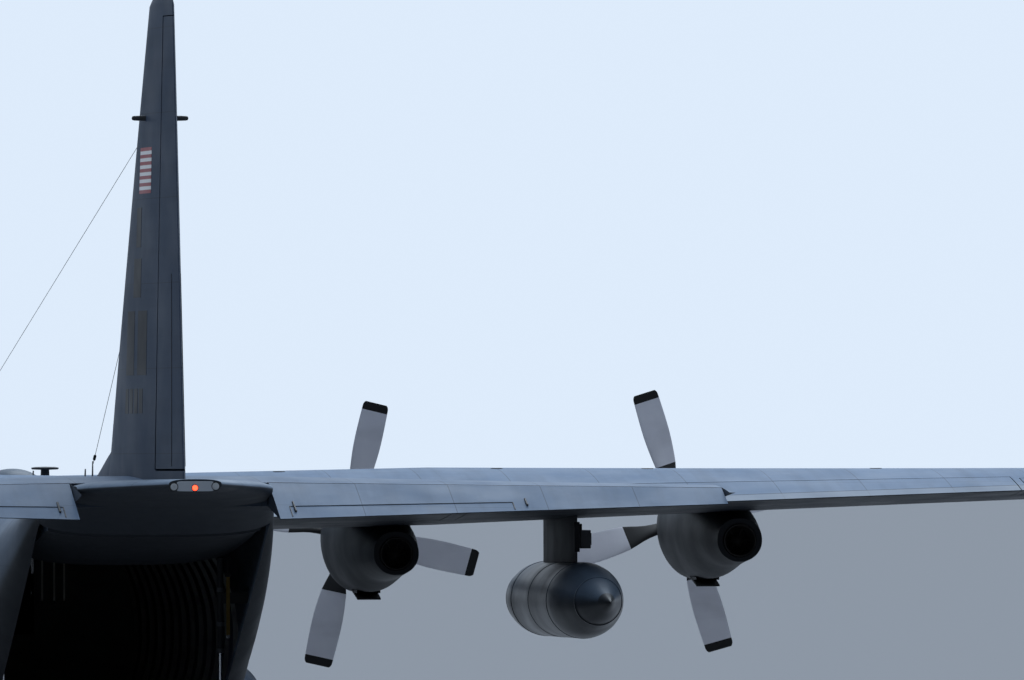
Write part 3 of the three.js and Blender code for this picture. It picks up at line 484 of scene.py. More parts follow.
FLOOR_GRIP = plain("floor_grip", (0.055, 0.057, 0.060), 0.85, dirt=0.5, scale=14)
LINING = plain("hold_lining", (0.150, 0.160, 0.155), 0.8, dirt=0.5)
DARK = plain("dark_interior", (0.022, 0.024, 0.027), 0.7)
GEAR_BAY = plain("bay_paint", (0.30, 0.32, 0.33), 0.6, dirt=0.5)
GEAR = plain("gear_paint", (0.42, 0.43, 0.44), 0.45, dirt=0.4)
STEEL = plain("bright_steel", (0.55, 0.56, 0.58), 0.22, 1.0, dirt=0.1)
TYRE = plain("tyre_rubber", (0.022, 0.022, 0.023), 0.85, faded=0.4)
HUB = plain("hub_ivory", (0.50, 0.47, 0.40), 0.5, dirt=0.45)
BLADE = plain("blade_grey", (0.66, 0.66, 0.72), 0.5, dirt=0.25)
BLACK = plain("matt_black", (0.012, 0.012, 0.013), 0.7, faded=0.3)
BOOT = plain("rubber_boot", (0.018, 0.018, 0.019), 0.6)
SOOT = plain("sooty_metal", (0.030, 0.028, 0.027), 0.75, 0.6, dirt=0.5)
GEAR_DARK = plain("dark_fitting", (0.060, 0.065, 0.072), 0.5)
ANTENNA = plain("antenna_dark", (0.035, 0.038, 0.042), 0.55)
WHITE = plain("stripe_white", (0.62, 0.62, 0.63), 0.5, dirt=0.15)
RED = plain("stripe_red", (0.24, 0.035, 0.045), 0.5, dirt=0.15)
MARK = plain("dark_marking", (0.010, 0.012, 0.016), 0.6, faded=0.0, dirt=0.15)
PALE = plain("pale_plate", (0.30, 0.33, 0.37), 0.4, dirt=0.2)
YELLOW = plain("yellow_strap", (0.13, 0.085, 0.015), 0.7, dirt=0.4)
WEBBING = plain("pale_webbing", (0.45, 0.44, 0.40), 0.8, dirt=0.3)


def glass(name):
    paint = Paint(name, (0.030, 0.045, 0.048), 0.06)
    paint.tint(paint.noise(1.6, low=0.4, high=0.8), (0.060, 0.085, 0.085), 0.5)
    paint.set("Alpha", 0.78)
    paint.set("IOR", 1.5)
    return paint.done(vary=0.02, bump=0.02, grain=1.5)


def lamp(name, colour, strength):
    paint = Paint(name, colour, 0.3)
    paint.tint(paint.noise(40.0), mixed(colour, 0.6), 0.5)
    paint.set("Emission Color", (*colour, 1))
    paint.set("Emission Strength", strength)
    return paint.done(vary=0.05)


GLASS = glass("window_glass")
RED_LAMP = lamp("red_lamp", (1.0, 0.05, 0.02), 5.0)
WHITE_LAMP = lamp("clear_lens", (0.30, 0.33, 0.36), 0.05)
RED_LENS = lamp("red_lens", (0.5, 0.02, 0.02), 0.15)
GREEN_LENS = lamp("green_lens", (0.02, 0.35, 0.12), 0.15)

# The solids that show as they are; smooth pieces stand in for all others below
NODE_PAINTS = (
    ("cockpit_glazing", GLASS), ("flight_deck_interior", DARK), ("cargo_floor", FLOOR_GRIP),
    ("hold_bulkhead", LINING), ("tank_pylon", PYLON), ("main_gear_legs", GEAR), ("nose_gear_well", GEAR_BAY),
    ("nose_gear", GEAR), ("ramp_actuator", DARK), ("ramp_rod", STEEL),
)


def paint_node(name, obj):
    chosen = [material for start, material in NODE_PAINTS if name.startswith(start)] + [HULL]
    obj.data.materials.clear()
    obj.data.materials.append(chosen[0])
    smooth(obj.data, 32)
    even = obj.modifiers.new("even_shading", "WEIGHTED_NORMAL")
    even.keep_sharp = True


for node_name, node_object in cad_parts.items():
    paint_node(node_name, node_object)

# Propellers
PROP_S = 9500.0
PROP_R = 2057.0
ENGINES = ((-10160, 4030, -22.0), (-4950, 3850, 31.0), (4950, 3850, 13.0), (10160, 4030, -16.5))
BLADE_ROWS = Table([
    # radius, chord, thickness, pitch
    (240, 190, 150, 48),
    (560, 250, 100, 40),
    (950, 430, 64, 30),
    (1400, 480, 40, 23),
    (PROP_R, 430, 18, 16),
])
BLADE_SIDES = 24
BLADE_ROOT = 240
BOOT_END = 900
TIP_BAND = 1925
TIP_ROUND = 90
FOOT_ROWS = ((250, 150), (345, 146), (372, 112))
SPINNER_ROWS = Table([(8800, 0), (8812, 62), (8870, 135), (9080, 262), (9350, 345), (9560, 366), (9638, 360)])
SPINNER_STATIONS = [8800, 8804, 8812, 8830] + steps(8860, 9638, 18)
SPINNER_BACK = [(9640, 330), (9640, 92)]


def blade_ring(r, turn, x, z):
    chord, thick, pitch = BLADE_ROWS(r)
    near_tip = max(0.0, (r - (PROP_R - TIP_ROUND)) / TIP_ROUND)
    chord *= 1 - 0.16 * near_tip**3
    c, d = math.cos(math.radians(pitch)), math.sin(math.radians(pitch))
    a = math.radians(turn)
    ring = []
    for k in range(BLADE_SIDES):
        t = 2 * math.pi * k / BLADE_SIDES
        u = 0.5 * math.cos(t)
        v = 0.5 * math.sin(t) * (0.62 + 0.38 * math.cos(t - 2.6)) * 1.15
        wide, deep = u * chord * c - v * thick * d, u * chord * d + v * thick * c
        px = x + wide * math.cos(a) + r * math.sin(a)
        pz = z - wide * math.sin(a) + r * math.cos(a)
        ring.append(at(px, PROP_S - deep, pz))
    return ring


def propeller(index, x, z, first_turn):
    shape = Shape()
    boot = steps(BLADE_ROOT, BOOT_END, 6)
    bare = steps(BOOT_END + 4, TIP_BAND, 22)
    tip = steps(TIP_BAND + 3, PROP_R, 6)
    radii = boot + bare + tip
    paints = [2] * len(boot) + [0] * len(bare) + [1] * len(tip)
    turns = [first_turn + 90 * k for k in range(4)]
    for turn in turns:
        shape.loft([blade_ring(r, turn, x, z) for r in radii], lambda i: paints[i])
    shape.lathe([(s, SPINNER_ROWS(s)[0]) for s in SPINNER_STATIONS] + SPINNER_BACK, x, z, paint=3)
    for turn in turns:
        a = math.radians(turn)
        foot = [at(x + r * math.sin(a), PROP_S, z + r * math.cos(a)) for r, _ in FOOT_ROWS]
        shape.tube(foot, [thick for _, thick in FOOT_ROWS], 24, paint=2)
    name = f"propeller_{index}"
    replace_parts(shape.make(f"{name}_blades", [BLADE, BLACK, BOOT, NACELLE], name, "blade_grey"), name)


for number, (engine_x, engine_z, engine_turn) in enumerate(ENGINES, 1):
    propeller(number, engine_x, engine_z, engine_turn)

# Nacelles
NACELLE_ROWS = Table([
    # aft of the propeller, half width, top, bottom, middle
    (170, 370, 380, -520, -40),
    (500, 480, 500, -760, -60),
    (1300, 540, 560, -880, -80),
    (2700, 540, 560, -860, -80),
    (4200, 470, 300, -680, -180),
    (5350, 340, 60, -590, -270),
])
NACELLE_FRONT = PROP_S + 170
NACELLE_END = PROP_S + 5350
PIPE_R = 270
PIPE_DROP = 270
PIPE_DEPTH = 500
INTAKE = {"drop": 400, "half": 250, "tall": 90, "deep": 420}
INTAKE_LIP = ((60, -2), (-10, -2), (-34, 9), (-26, 22), (12, 30))
# s from the nacelle's end, and how far inside the pipe's radius
EXHAUST_WALL = ((-495, 60), (-60, 34), (34, 42), (34, 30), (-60, 22), (-495, 40))
# s from the nacelle's end, and radius
EXHAUST_CONE = ((-492, 200), (-440, 120), (-250, 70), (-180, 0))
STRUT_S = NACELLE_END - 330
# the flap below the oil cooler: s and height at its hinge and at its rear edge, and its side plates
COOLER_HINGE = (1850, 14)
COOLER_REAR = (2420, -120)
COOLER_PLATES = ((-180, -168), (168, 180))


def oval(x, s, half, top, bottom, middle, power_up, power_down, count):
    """A closed section with its own height and squareness above and below the widest place."""
    ring = []
    for k in range(count):
        t = 2 * math.pi * (k + 0.5) / count
        c, d = math.cos(t), math.sin(t)
        power = 2 / (power_up if d > 0 else power_down)
        height = top - middle if d > 0 else middle - bottom
        px = x + half * math.copysign(abs(c) ** power, c)
        ring.append(at(px, s, middle + height * math.copysign(abs(d) ** power, d)))
    return ring


def nacelle_ring(x, z, aft, grow=0.0):
    half, top, bottom, middle = NACELLE_ROWS(aft)
    return oval(x, PROP_S + aft, half + grow, z + top + grow, z + bottom - grow, z + middle, 2.2, 2.05, 56)


def intake_ring(x, s, z, grow=0.0, count=32):
    middle = z - INTAKE["drop"]
    tall = INTAKE["tall"] + grow
    return oval(x, s, INTAKE["half"] + grow, middle + tall, middle - tall, middle, 3, 2, count)


def make_nacelle(index, x, z):
    stations = [178] + steps(200, NACELLE_END - PROP_S, 46)
    body = Shape().loft([nacelle_ring(x, z, 170, -12)] + [nacelle_ring(x, z, aft) for aft in stations])
    obj = body.make(f"nacelle_{index}_cowl", [NACELLE, SOOT], slot="nacelle_paint")
    pipe = [(s, PIPE_R - 14) for s in (NACELLE_END - PIPE_DEPTH, NACELLE_END + 40)]
    cut(obj, Shape().lathe(pipe, x, z - PIPE_DROP))
    mouth = (NACELLE_FRONT - 40, NACELLE_FRONT + INTAKE["deep"])
    cut(obj, Shape().loft([intake_ring(x, s, z) for s in mouth]))
    smooth(obj.data, 40)
    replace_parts(obj, f"nacelle_{index}")


def make_exhaust(index, x, z):
    wall = [circle(x, NACELLE_END + ds, z, PIPE_R - less, 40) for ds, less in EXHAUST_WALL]
    parts = Shape().loft(wall + wall[:1], caps=False)
    parts.lathe([(NACELLE_END + ds, r) for ds, r in EXHAUST_CONE], x, z, 32)
    struts = [circle(x, STRUT_S, z, r, 6) for r in (60, PIPE_R - 44)]
    for p, q in zip(*struts):
        parts.tube([p, q], 9, 6)
    parts.make(f"exhaust_{index}", SOOT, slot="nacelle_paint")


def make_intake_lip(index, x, z):
    rings = [intake_ring(x, NACELLE_FRONT + ds, z, grow, 40) for ds, grow in INTAKE_LIP]
    Shape().loft(rings, caps=False).make(f"intake_lip_{index}", STEEL, slot="nacelle_paint")


def make_cooler_flap(index, x, z):
    low = z + NACELLE_ROWS(2500)[2]
    corners = ((-190, COOLER_HINGE), (190, COOLER_HINGE), (180, COOLER_REAR), (-180, COOLER_REAR))
    outline = [at(x + dx, PROP_S + aft, low + dz) for dx, (aft, dz) in corners]
    flap = Shape().prism(outline, UP * (26 * SCALE))
    for left, right in COOLER_PLATES:
        flap.block((x + left, PROP_S + 1900, low - 20), (x + right, PROP_S + 2380, low + 30))
    flap.make(f"cooler_flap_{index}", BLACK, slot="nacelle_paint", bevel=4)


for number, (engine_x, engine_z, _) in enumerate(ENGINES, 1):
    make_nacelle(number, engine_x, engine_z)
    make_exhaust(number, engine_x, engine_z - PIPE_DROP)
    make_intake_lip(number, engine_x, engine_z)
    make_cooler_flap(number, engine_x, engine_z)

# External tanks
TANK_X = 7600
TANK_Z = 2880
TANK_ROWS = Table([
    (10300, 0), (10306, 38), (10360, 105), (10700, 290), (11400, 470), (12500, 568), (16000, 568),
    (17200, 400), (18200, 132), (18560, 26), (18600, 0),
])
TANK_STATIONS = [10300, 10302, 10306, 10320] + steps(10360, 18560, 64) + [18580, 18592, 18600]
TANK_SEAMS = (11400, 12500, 14200, 16000, 17400)
TANK_BAND = ((-26, -6), (-22, 3), (22, 3), (26, -6))
TANK_SIDES = 64


def tank(side, x):
    shape = Shape()
    profile = []
    for s in TANK_STATIONS:
        near = min(abs(s - seam) for seam in TANK_SEAMS)
        profile.append((s, TANK_ROWS(s)[0] - (4 if near < 40 else 0)))
    shape.lathe(profile, x, TANK_Z, TANK_SIDES)
    for seam in TANK_SEAMS:
        r = TANK_ROWS(seam)[0]
        shape.loft([circle(x, seam + ds, TANK_Z, r + dr, TANK_SIDES) for ds, dr in TANK_BAND], caps=False)
    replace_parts(shape.make(f"tank_{side}_shell", TANK, slot="tank_paint"), f"tank_{side}")


for side, way in SIDES:
    tank(side, way * TANK_X)

# Wheels
WHEEL = {"x": 2175, "r": 690, "half": 250, "front": 13250, "rear": 14800}
NOSE = {"x": 280, "r": 485, "half": 160, "s": 4250}


def wheel(shape, x, s, r, half, rim, out):
    """Tyre with grooves, then a hub with its disc on the outer side."""
    bulge = [
        (-half * 0.62, rim), (-half * 0.80, rim * 1.08), (-half * 0.97, rim * 1.3), (-half, r * 0.72),
        (-half * 0.97, r * 0.85), (-half * 0.86, r * 0.945), (-half * 0.66, r * 0.988),
    ]
    tread = []
    for groove in (-0.42, -0.14, 0.14, 0.42):
        for dx, q in ((-9, r * 0.999), (-6, r - 14), (6, r - 14), (9, r * 0.999)):
            tread.append((groove * half + dx, q))
    profile = bulge + tread + [(-dx, q) for dx, q in reversed(bulge)]
    shape.disc(profile + profile[:1], x, s, r, 64, caps=False)
    face = half * 0.60
    # each row is a share of the hub's half width and a share of the rim's radius
    hub = (
        (-1, 60 / rim), (-1, 0.5), (-0.75, 0.62), (-1, 0.97), (-1, 1.02), (1, 1.02), (1, 0.97),
        (0.78, 0.9), (0.7, 0.55), (1, 0.45), (1.12, 0.40), (1.12, 0.18), (0.9, 0),
    )
    shape.disc([(face * f * out, rim * q) for f, q in hub], x, s, r, 64, 1, caps=False)
    bolts = [circle(x + out * face * f, s, r, rim * 0.74, 8, "sz") for f in (0.6, 0.92)]
    for p, q in zip(*bolts):
        shape.tube([p, q], 17, 10, paint=2)
    return shape


def make_wheels():
    for side, way in SIDES:
        for where in ("front", "rear"):
            name = f"main_wheel_{where}_{side}"
            made = wheel(Shape(), way * WHEEL["x"], WHEEL[where], WHEEL["r"], WHEEL["half"], 300, way)
            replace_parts(made.make(f"{name}_tyre", [TYRE, HUB, STEEL], name, "tyre", angle=28), name)
    pair = Shape()
    for _, way in SIDES:
        wheel(pair, way * NOSE["x"], NOSE["s"], NOSE["r"], NOSE["half"], 215, way)
    pair.tube([at(x, NOSE["s"], NOSE["r"]) for x in (-NOSE["x"], NOSE["x"])], 40, 20, paint=2)
    made = pair.make("nose_wheels_tyres", [TYRE, HUB, STEEL], "nose_wheels", "tyre", angle=28)
    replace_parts(made, "nose_wheels")


make_wheels()


# Hull: smooth skins in the place of the faceted sections
FUSELAGE = Table([
    # s, half width, top, bottom, height of the greatest width, roundness above and below
    (0, 12, 2032, 2008, 2020, 2, 2),
    (12, 130, 2150, 1898, 2020, 2, 2),
    (60, 280, 2310, 1760, 2020, 2, 2),
    (220, 550, 2450, 1560, 2010, 2, 2),
    (700, 930, 2660, 1350, 2020, 2, 2),
    (1220, 1190, 2960, 1120, 2050, 2, 2.2),
    (1470, 1320, 3320, 1030, 2080, 2.1, 2.2),
    (1850, 1520, 3750, 925, 2130, 2.2, 2.3),
    (2300, 1720, 4100, 860, 2200, 2.2, 2.4),
    (2900, 1920, 4390, 790, 2300, 2.1, 2.5),
    (3570, 2060, 4510, 740, 2380, 2, 2.6),
    (5500, 2160, 4620, 650, 2450, 2, 2.7),
    (18720, 2160, 4620, 650, 2450, 2, 2.7),
    (20000, 2120, 4630, 1190, 2750, 2.1, 2.8),
    (22070, 2010, 4640, 2240, 3250, 2.3, 3),
    (24000, 1850, 4655, 3260, 3800, 2.6, 3.2),
    (25300, 1700, 4670, 3930, 4250, 3, 3.2),
    (26600, 1500, 4700, 4270, 4470, 3, 2.8),
    (27450, 1410, 4715, 4400, 4560, 3, 2.6),
    (28700, 880, 4720, 4500, 4610, 3, 2.5),
    (29790, 370, 4720, 4570, 4640, 3, 2.5),
])
HULL_SIDES = 88
WALL = 90
RADOME_S = 1220
BULKHEAD_S = 6220
WING_FRONT_S = 11900
WING_REAR_S = 17350
RAMP_HINGE_S = 18720
RAMP_END_S = 22070
DOOR_HINGE_S = 25300
MOVE_GAP = 14
SEAM = 5
INSIDE = 50
HOLD_CEILING = 4480
CEILING_FALLS_FROM = 22000
CEILING_FALL = 0.1


def hull_ring(s, inset=0.0):
    """A section of the hull, drawn in by the inset; an inner wall also keeps under the hold's ceiling."""
    half, top, bottom, middle, up, down = FUSELAGE(s)
    ceiling = top - inset
    if inset > INSIDE:
        ceiling = min(ceiling, HOLD_CEILING - max(0, s - CEILING_FALLS_FROM) * CEILING_FALL)
    widest = min(middle, ceiling - 100) if inset > INSIDE else middle
    half -= inset + middle - widest
    return oval(0, s, half, ceiling, bottom + inset, widest, up, down, HULL_SIDES)


def hull_stations(s0, s1, step):
    return steps(s0, s1, max(2, round((s1 - s0) / step)))


def hull_shell(s0, s1, step, inner_from=None, inner_to=None):
    """A wall between the skin and its inset; it is closed in front where inner_from lies behind s0."""
    outer = [hull_ring(s) for s in hull_stations(s0, s1, step)]
    inner = [hull_ring(s, WALL) for s in reversed(hull_stations(inner_from or s0, inner_to or s1, step))]
    if inner_from:
        return Shape().loft(outer + inner)
    return Shape().loft([*outer, *inner, outer[0]], caps=False)


def hull_solid(s0, s1, step, inset=0.0):
    return Shape().loft([hull_ring(s, inset) for s in hull_stations(s0, s1, step)])


def cut_box(obj, low, high, how="DIFFERENCE"):
    cut(obj, Shape().block(low, high), how)


def side_prism(outline, half):
    return Shape().prism([at(-half, s, z) for s, z in outline], (2 * half * SCALE, 0, 0))


# Cockpit windows: x, s, z, the way the pane faces in degrees from ahead, width, height
WINDOWS = (
    (0, 1700, 3470, 0, 420, 400),
    (480, 1760, 3450, 14, 400, 390),
    (900, 1900, 3400, 38, 360, 380),
    (1250, 2130, 3330, 62, 300, 360),
    (1500, 2380, 3290, 80, 320, 350),
    (1620, 2740, 3270, 86, 330, 350),
    (1330, 2480, 3650, 80, 240, 190),
    (1400, 2790, 3640, 86, 230, 190),
    (860, 1530, 2960, 48, 260, 190),
    (450, 1390, 2990, 18, 300, 170),
)
WINDOW_CORNER = 46


def window_plane(x, s, z, faces):
    """The pane's centre, its sideways direction and the way it faces."""
    f = math.radians(faces)
    return at(x, s, z), Vector((math.cos(f), -math.sin(f), 0)), Vector((math.sin(f), math.cos(f), 0))


def window_outline(width, height, corner, per_corner=5):
    """A rectangle with round corners, as points to the side and up."""
    points = []
    for turn in range(4):
        cx = (width / 2 - corner) * (1 if turn in (0, 3) else -1)
        cz = (height / 2 - corner) * (1 if turn in (0, 1) else -1)
        for k in range(per_corner + 1):
            a = math.pi / 2 * (turn + k / per_corner)
            points.append((cx + corner * math.cos(a), cz + corner * math.sin(a)))
    return points


def window_cutter(x, s, z, faces, width, height):
    centre, side, out = window_plane(x, s, z, faces)
    outline = [centre + (side * a + UP * b) * SCALE for a, b in window_outline(width, height, WINDOW_CORNER)]
    reach = out * (450 * SCALE)
    return Shape().loft([[p - reach for p in outline], [p + reach for p in outline]])


def both_sides(rows):
    """Each row, then its mirror image where it isn't on the middle line."""
    for row in rows:
        yield row
        if row[0]:
            yield (-row[0], row[1], row[2], -row[3], *row[4:])


# Rooms in the hull: each is a low and a high corner as x, s, z; those on both sides are given on the right
NOSE_WELL = ((-680, 3450, 0), (680, 5050, 1480))
CREW_OPENING = ((-2600, 4160, 1060), (-900, 4940, 2180))
CREW_DOOR = ((-2600, 4188, 1090), (-900, 4926, 2166))
CREW_SILL = ((-1490, 1062), (-1720, 1062), (-1720, 972))
WELL = {"s0": 12430, "s1": 15620, "top": 1420, "side_top": 980}
WELL_ROOM = ((1665, WELL["s0"], 0), (2600, WELL["s1"], WELL["top"]))
WELL_LINER = (
    ((1580, 12350, 640), (1660, 15700, 1500)),
    ((1580, 12350, 1425), (2010, 15700, 1500)),
    ((1580, 12350, 1000), (2010, 12425, 1500)),
    ((1580, 15625, 1000), (2010, 15700, 1500)),
)
SIDE_OPENING = ((1000, 17600, 1120), (2600, 18510, 2950))
SIDE_DOOR = ((1000, 17608, 1128), (2600, 18502, 2942))
STABILIZER_ROOM = ((1384, 26600, 3500), (2000, 29000, 5200))
REAR_OPENING = (
    # s, z
    (RAMP_HINGE_S, -100), (DOOR_HINGE_S + 10, -100), (DOOR_HINGE_S + 10, 4180),
    (RAMP_END_S, 3250), (RAMP_HINGE_S, 2450),
)
REAR_OPENING_HALF = 1650
DECK_WALL_FROM = 1390
AFT_WALL_TO = 25150
NOSE_STATIONS = [0, 4, 12, 24, 40, 60, 90, 130, 170] + hull_stations(220, RADOME_S - SEAM, 70)


def on_side(way, room):
    """The room's corners on the right, for 1, or on the left, for -1."""
    return [(way * x, s, z) for x, s, z in room]


def make_flight_deck():
    deck = hull_shell(RADOME_S, BULKHEAD_S - SEAM, 60, inner_from=DECK_WALL_FROM)
    deck = deck.make("flight_deck_skin", HULL, angle=42)
    for row in both_sides(WINDOWS):
        cut(deck, window_cutter(*row))
    cut_box(deck, *NOSE_WELL)
    cut_box(deck, *CREW_OPENING)
    cut(deck, Shape().loft([[at(x, corner[1], z) for x, z in CREW_SILL] for corner in CREW_OPENING]))
    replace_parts(deck, "flight_deck")


def make_centre():
    centre = hull_shell(WING_FRONT_S, WING_REAR_S - SEAM, 400).make("center_skin", HULL, angle=50)
    for _, way in SIDES:
        cut_box(centre, *on_side(way, WELL_ROOM))
    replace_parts(centre, "center_fuselage")
    boxes(WELL_LINER).mirrored().make("wheel_well_liner", GEAR_BAY, slot="gear_bay", bevel=6)


def make_aft():
    aft = hull_shell(WING_REAR_S, DOOR_HINGE_S - SEAM, 130, inner_to=AFT_WALL_TO)
    aft = aft.make("aft_skin", HULL, angle=42)
    cut(aft, side_prism(REAR_OPENING, REAR_OPENING_HALF))
    for _, way in SIDES:
        cut_box(aft, *on_side(way, SIDE_OPENING))
    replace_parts(aft, "aft_fuselage")
    for side, way in SIDES:
        door = hull_shell(17500, 18610, 130).make(f"paratroop_door_panel_{side}", HULL, angle=42)
        cut_box(door, *on_side(way, SIDE_DOOR), "INTERSECT")
        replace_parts(door, f"paratroop_door_{side}")


def make_tail_cone():
    cone = Shape().loft([hull_ring(s) for s in hull_stations(DOOR_HINGE_S, 29780, 75) + [29790]])
    cone = cone.make("tail_cone_skin", TAIL_CONE, angle=42)
    for _, way in SIDES:
        cut_box(cone, *on_side(way, STABILIZER_ROOM))
    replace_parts(cone, "tail_cone")


def make_hull():
    nose = Shape().loft([hull_ring(s) for s in NOSE_STATIONS])
    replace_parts(nose.make("radome_shell", RADOME, slot="radome_paint", angle=50), "radome")
    make_flight_deck()
    front = hull_shell(BULKHEAD_S, WING_FRONT_S - SEAM, 400).make("forward_skin", HULL, angle=50)
    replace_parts(front, "forward_fuselage")
    make_centre()
    make_aft()
    make_tail_cone()
    crew = hull_shell(3900, 5100, 60).make("crew_door_panel", HULL, "crew_door", angle=42)
    cut_box(crew, *CREW_DOOR, "INTERSECT")
    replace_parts(crew, "crew_door")


make_hull()


# Ramp and aft door: cut from the closed hull, then turned as parked
RAMP_AXIS = (18815, 970)
RAMP_CLOSED = 25
RAMP_HALF = 1530
DOOR_AXIS = (25170, 4085)
DOOR_OPEN = 21
DOOR_HALF = 1520
DOOR_THICK = 130
FLOOR_Z = 1030


def turn_shape(obj, axis, degrees):
    """Turns a piece's mesh about a line across the aircraft."""
    centre = at(0, *axis)
    turn = Matrix.Rotation(math.radians(degrees), 4, "X")
    obj.data.transform(Matrix.Translation(centre) @ turn @ Matrix.Translation(-centre))


def ramp_top(s):
    """The height of the ramp's top while it is closed."""
    closed = math.radians(RAMP_CLOSED)
    rise = (FLOOR_Z - RAMP_AXIS[1]) / math.cos(closed)
    return RAMP_AXIS[1] + rise + (s - RAMP_AXIS[0]) * math.tan(closed)


def make_ramp():
    end = RAMP_END_S - MOVE_GAP
    front = RAMP_HINGE_S + 30
    ramp = hull_solid(18000, 22500, 110).make("ramp_body", [RAMP, FLOOR_GRIP], "ramp", "ramp_paint", angle=40)
    outline = [(RAMP_HINGE_S + 560, 0), (end, 0), (end, ramp_top(end)), (front, ramp_top(front))]
    cut(ramp, side_prism(outline, RAMP_HALF), "INTERSECT")
    turn_shape(ramp, RAMP_AXIS, RAMP_CLOSED)
    smooth(ramp.data, 40)
    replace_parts(ramp, "ramp")


def make_aft_door():
    door = hull_solid(21900, 25500, 110).make("aft_door_panel", [HULL, LINING], "aft_cargo_door", angle=40)
    raised = hull_solid(21700, 25700, 110)
    raised.verts = [v + UP * (DOOR_THICK * SCALE) for v in raised.verts]
    low = (-DOOR_HALF, RAMP_END_S + MOVE_GAP, 0)
    cut_box(door, low, (DOOR_HALF, DOOR_HINGE_S - 60, 4200), "INTERSECT")
    cut(door, raised)
    turn_shape(door, DOOR_AXIS, DOOR_OPEN)
    smooth(door.data, 40)
    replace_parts(door, "aft_cargo_door")


make_ramp()
make_aft_door()

# Wing, tail and fin: smooth skins, cut at the same hinge lines as the solids


def between(rows, key):
    """Reads a table of rows along straight lines."""
    i = 0
    while i < len(rows) - 2 and key > rows[i + 1][0]:
        i += 1
    a, b = rows[i], rows[i + 1]
    t = min(1.0, max(0.0, (key - a[0]) / (b[0] - a[0])))
    return [p + (q - p) * t for p, q in zip(a[1:], b[1:])]


def half_thick(chord, ratio, u):
    curve = 0.2969 * math.sqrt(u) - 0.126 * u - 0.3516 * u**2 + 0.2843 * u**3 - 0.1036 * u**4
    return 5 * ratio * chord * curve + 6 * u


def aerofoil(chord, ratio, camber=0.0, thin=1.0, count=28):
    """Points along the chord and up, from the trailing edge over the top and back below."""
    points = []
    for i in range(2 * count):
        u = 0.5 + 0.5 * math.cos(math.pi * i / count)
        mean = 4 * camber * chord * u * (1 - u)
        side = 1 if i < count else -1
        points.append((u * chord, mean + side * thin * (0 if i == count else half_thick(chord, ratio, u))))
    return points


WING_ROWS = (
    # x, leading edge s, chord, thickness ratio, z at 40% chord, incidence
    (0, 12250, 4880, 0.18, 4240, 3),
    (5590, 12250, 4880, 0.175, 4357, 3),
    (19900, 13000, 2520, 0.12, 4660, 0),
    (20205, 13200, 1900, 0.08, 4666, 0),
)
TAIL_ROWS = (
    # x, leading edge s, chord, thickness ratio
    (0, 23850, 4350, 0.12),
    (1300, 23850, 4350, 0.12),
    (7900, 25500, 1960, 0.11),
    (8030, 25750, 1450, 0.08),
)
FIN_FOOT = 4500
FIN_ROWS = (
    # z, leading edge s, chord, thickness ratio
    (FIN_FOOT, 21935, 6660, 0.13),
    (11400, 25580, 1900, 0.15),
    (11660, 25900, 1300, 0.11),
)
DORSAL_ROWS = Table([(17700, 10, 4610), (19000, 70, 4820), (21000, 140, 5180), (22600, 150, 5400)])
DORSAL_BOW = ((0, 1), (0.5, 0.95), (0.8, 0.75), (0.96, 0.4), (1, 0))
WING_CAMBER = 0.014
TAIL_Z = 4500
JOINT_X = 5590
WING_ROOT_X = 1800
FLAP_ROOT_X = 2250
FLAP_END_X = 14230
JOINT_GAP = 110
FLAP_SPANS = ((FLAP_ROOT_X, JOINT_X - JOINT_GAP), (JOINT_X + JOINT_GAP, FLAP_END_X))
FLAP_AHEAD = 24
AILERON_END_X = 19700
FLAP_FRACTION = 0.72
AILERON_FRACTION = 0.76
AILERON_HALF_THICK = 0.0486  # the thickness curve's value at the aileron's hinge
SPACE_UP = 900
SPACE_BEHIND = 400
HINGE_SPACE_HALF = 1500
HINGE_SPACE_LONG = 6000
ELEVATOR_S = 26850
ELEVATOR_ROOT_X = 1400
ELEVATOR_END_X = 7900
ELEVATOR_DROOP = 15
RUDDER_S = 27040
RUDDER_LOW = 4850
RUDDER_TOP = 11240


def rounding(key, rows):
    """Thins the section towards the tip, between the last two rows."""
    f = (key - rows[-2][0]) / (rows[-1][0] - rows[-2][0])
    return math.sqrt(max(0.02, 1 - max(0.0, f) ** 2))


def wing_point(x, along, up):
    lead, chord, _, z40, incidence = between(WING_ROWS, abs(x))
    aft = along - 0.4 * chord
    c, d = math.cos(math.radians(incidence)), math.sin(math.radians(incidence))
    return at(x, lead + 0.4 * chord + aft * c + up * d, z40 + up * c - aft * d)


def wing_ring(x):
    _, chord, ratio, _, _ = between(WING_ROWS, abs(x))
    thin = rounding(abs(x), WING_ROWS)
    return [wing_point(x, u, v) for u, v in aerofoil(chord, ratio, WING_CAMBER, thin)]


def tail_ring(x):
    lead, chord, ratio = between(TAIL_ROWS, abs(x))
    thin = rounding(abs(x), TAIL_ROWS)
    return [at(x, lead + u, TAIL_Z + v) for u, v in aerofoil(chord, ratio, 0, thin)]


def fin_ring(z):
    lead, chord, ratio = between(FIN_ROWS, z)
    return [at(v, lead + u, z) for u, v in aerofoil(chord, ratio, 0, rounding(z, FIN_ROWS))]


def tip_steps(rows, count=6):
    """Places between the last two rows, closer together towards the tip."""
    a, b = rows[-2][0], rows[-1][0]
    return [a + (b - a) * math.sin(math.pi / 2 * k / count) for k in range(1, count + 1)]


# Each nose is a place on the hinge line and the radius of the round front edge there
def aileron_nose(x):
    _, chord, ratio, _, _ = between(WING_ROWS, abs(x))
    u = AILERON_FRACTION
    place = wing_point(x, u * chord, 4 * WING_CAMBER * chord * u * (1 - u))
    return place, 5 * ratio * chord * AILERON_HALF_THICK


def elevator_nose(x):
    lead, chord, ratio = between(TAIL_ROWS, abs(x))
    return at(x, ELEVATOR_S, TAIL_Z), half_thick(chord, ratio, (ELEVATOR_S - lead) / chord) - 2


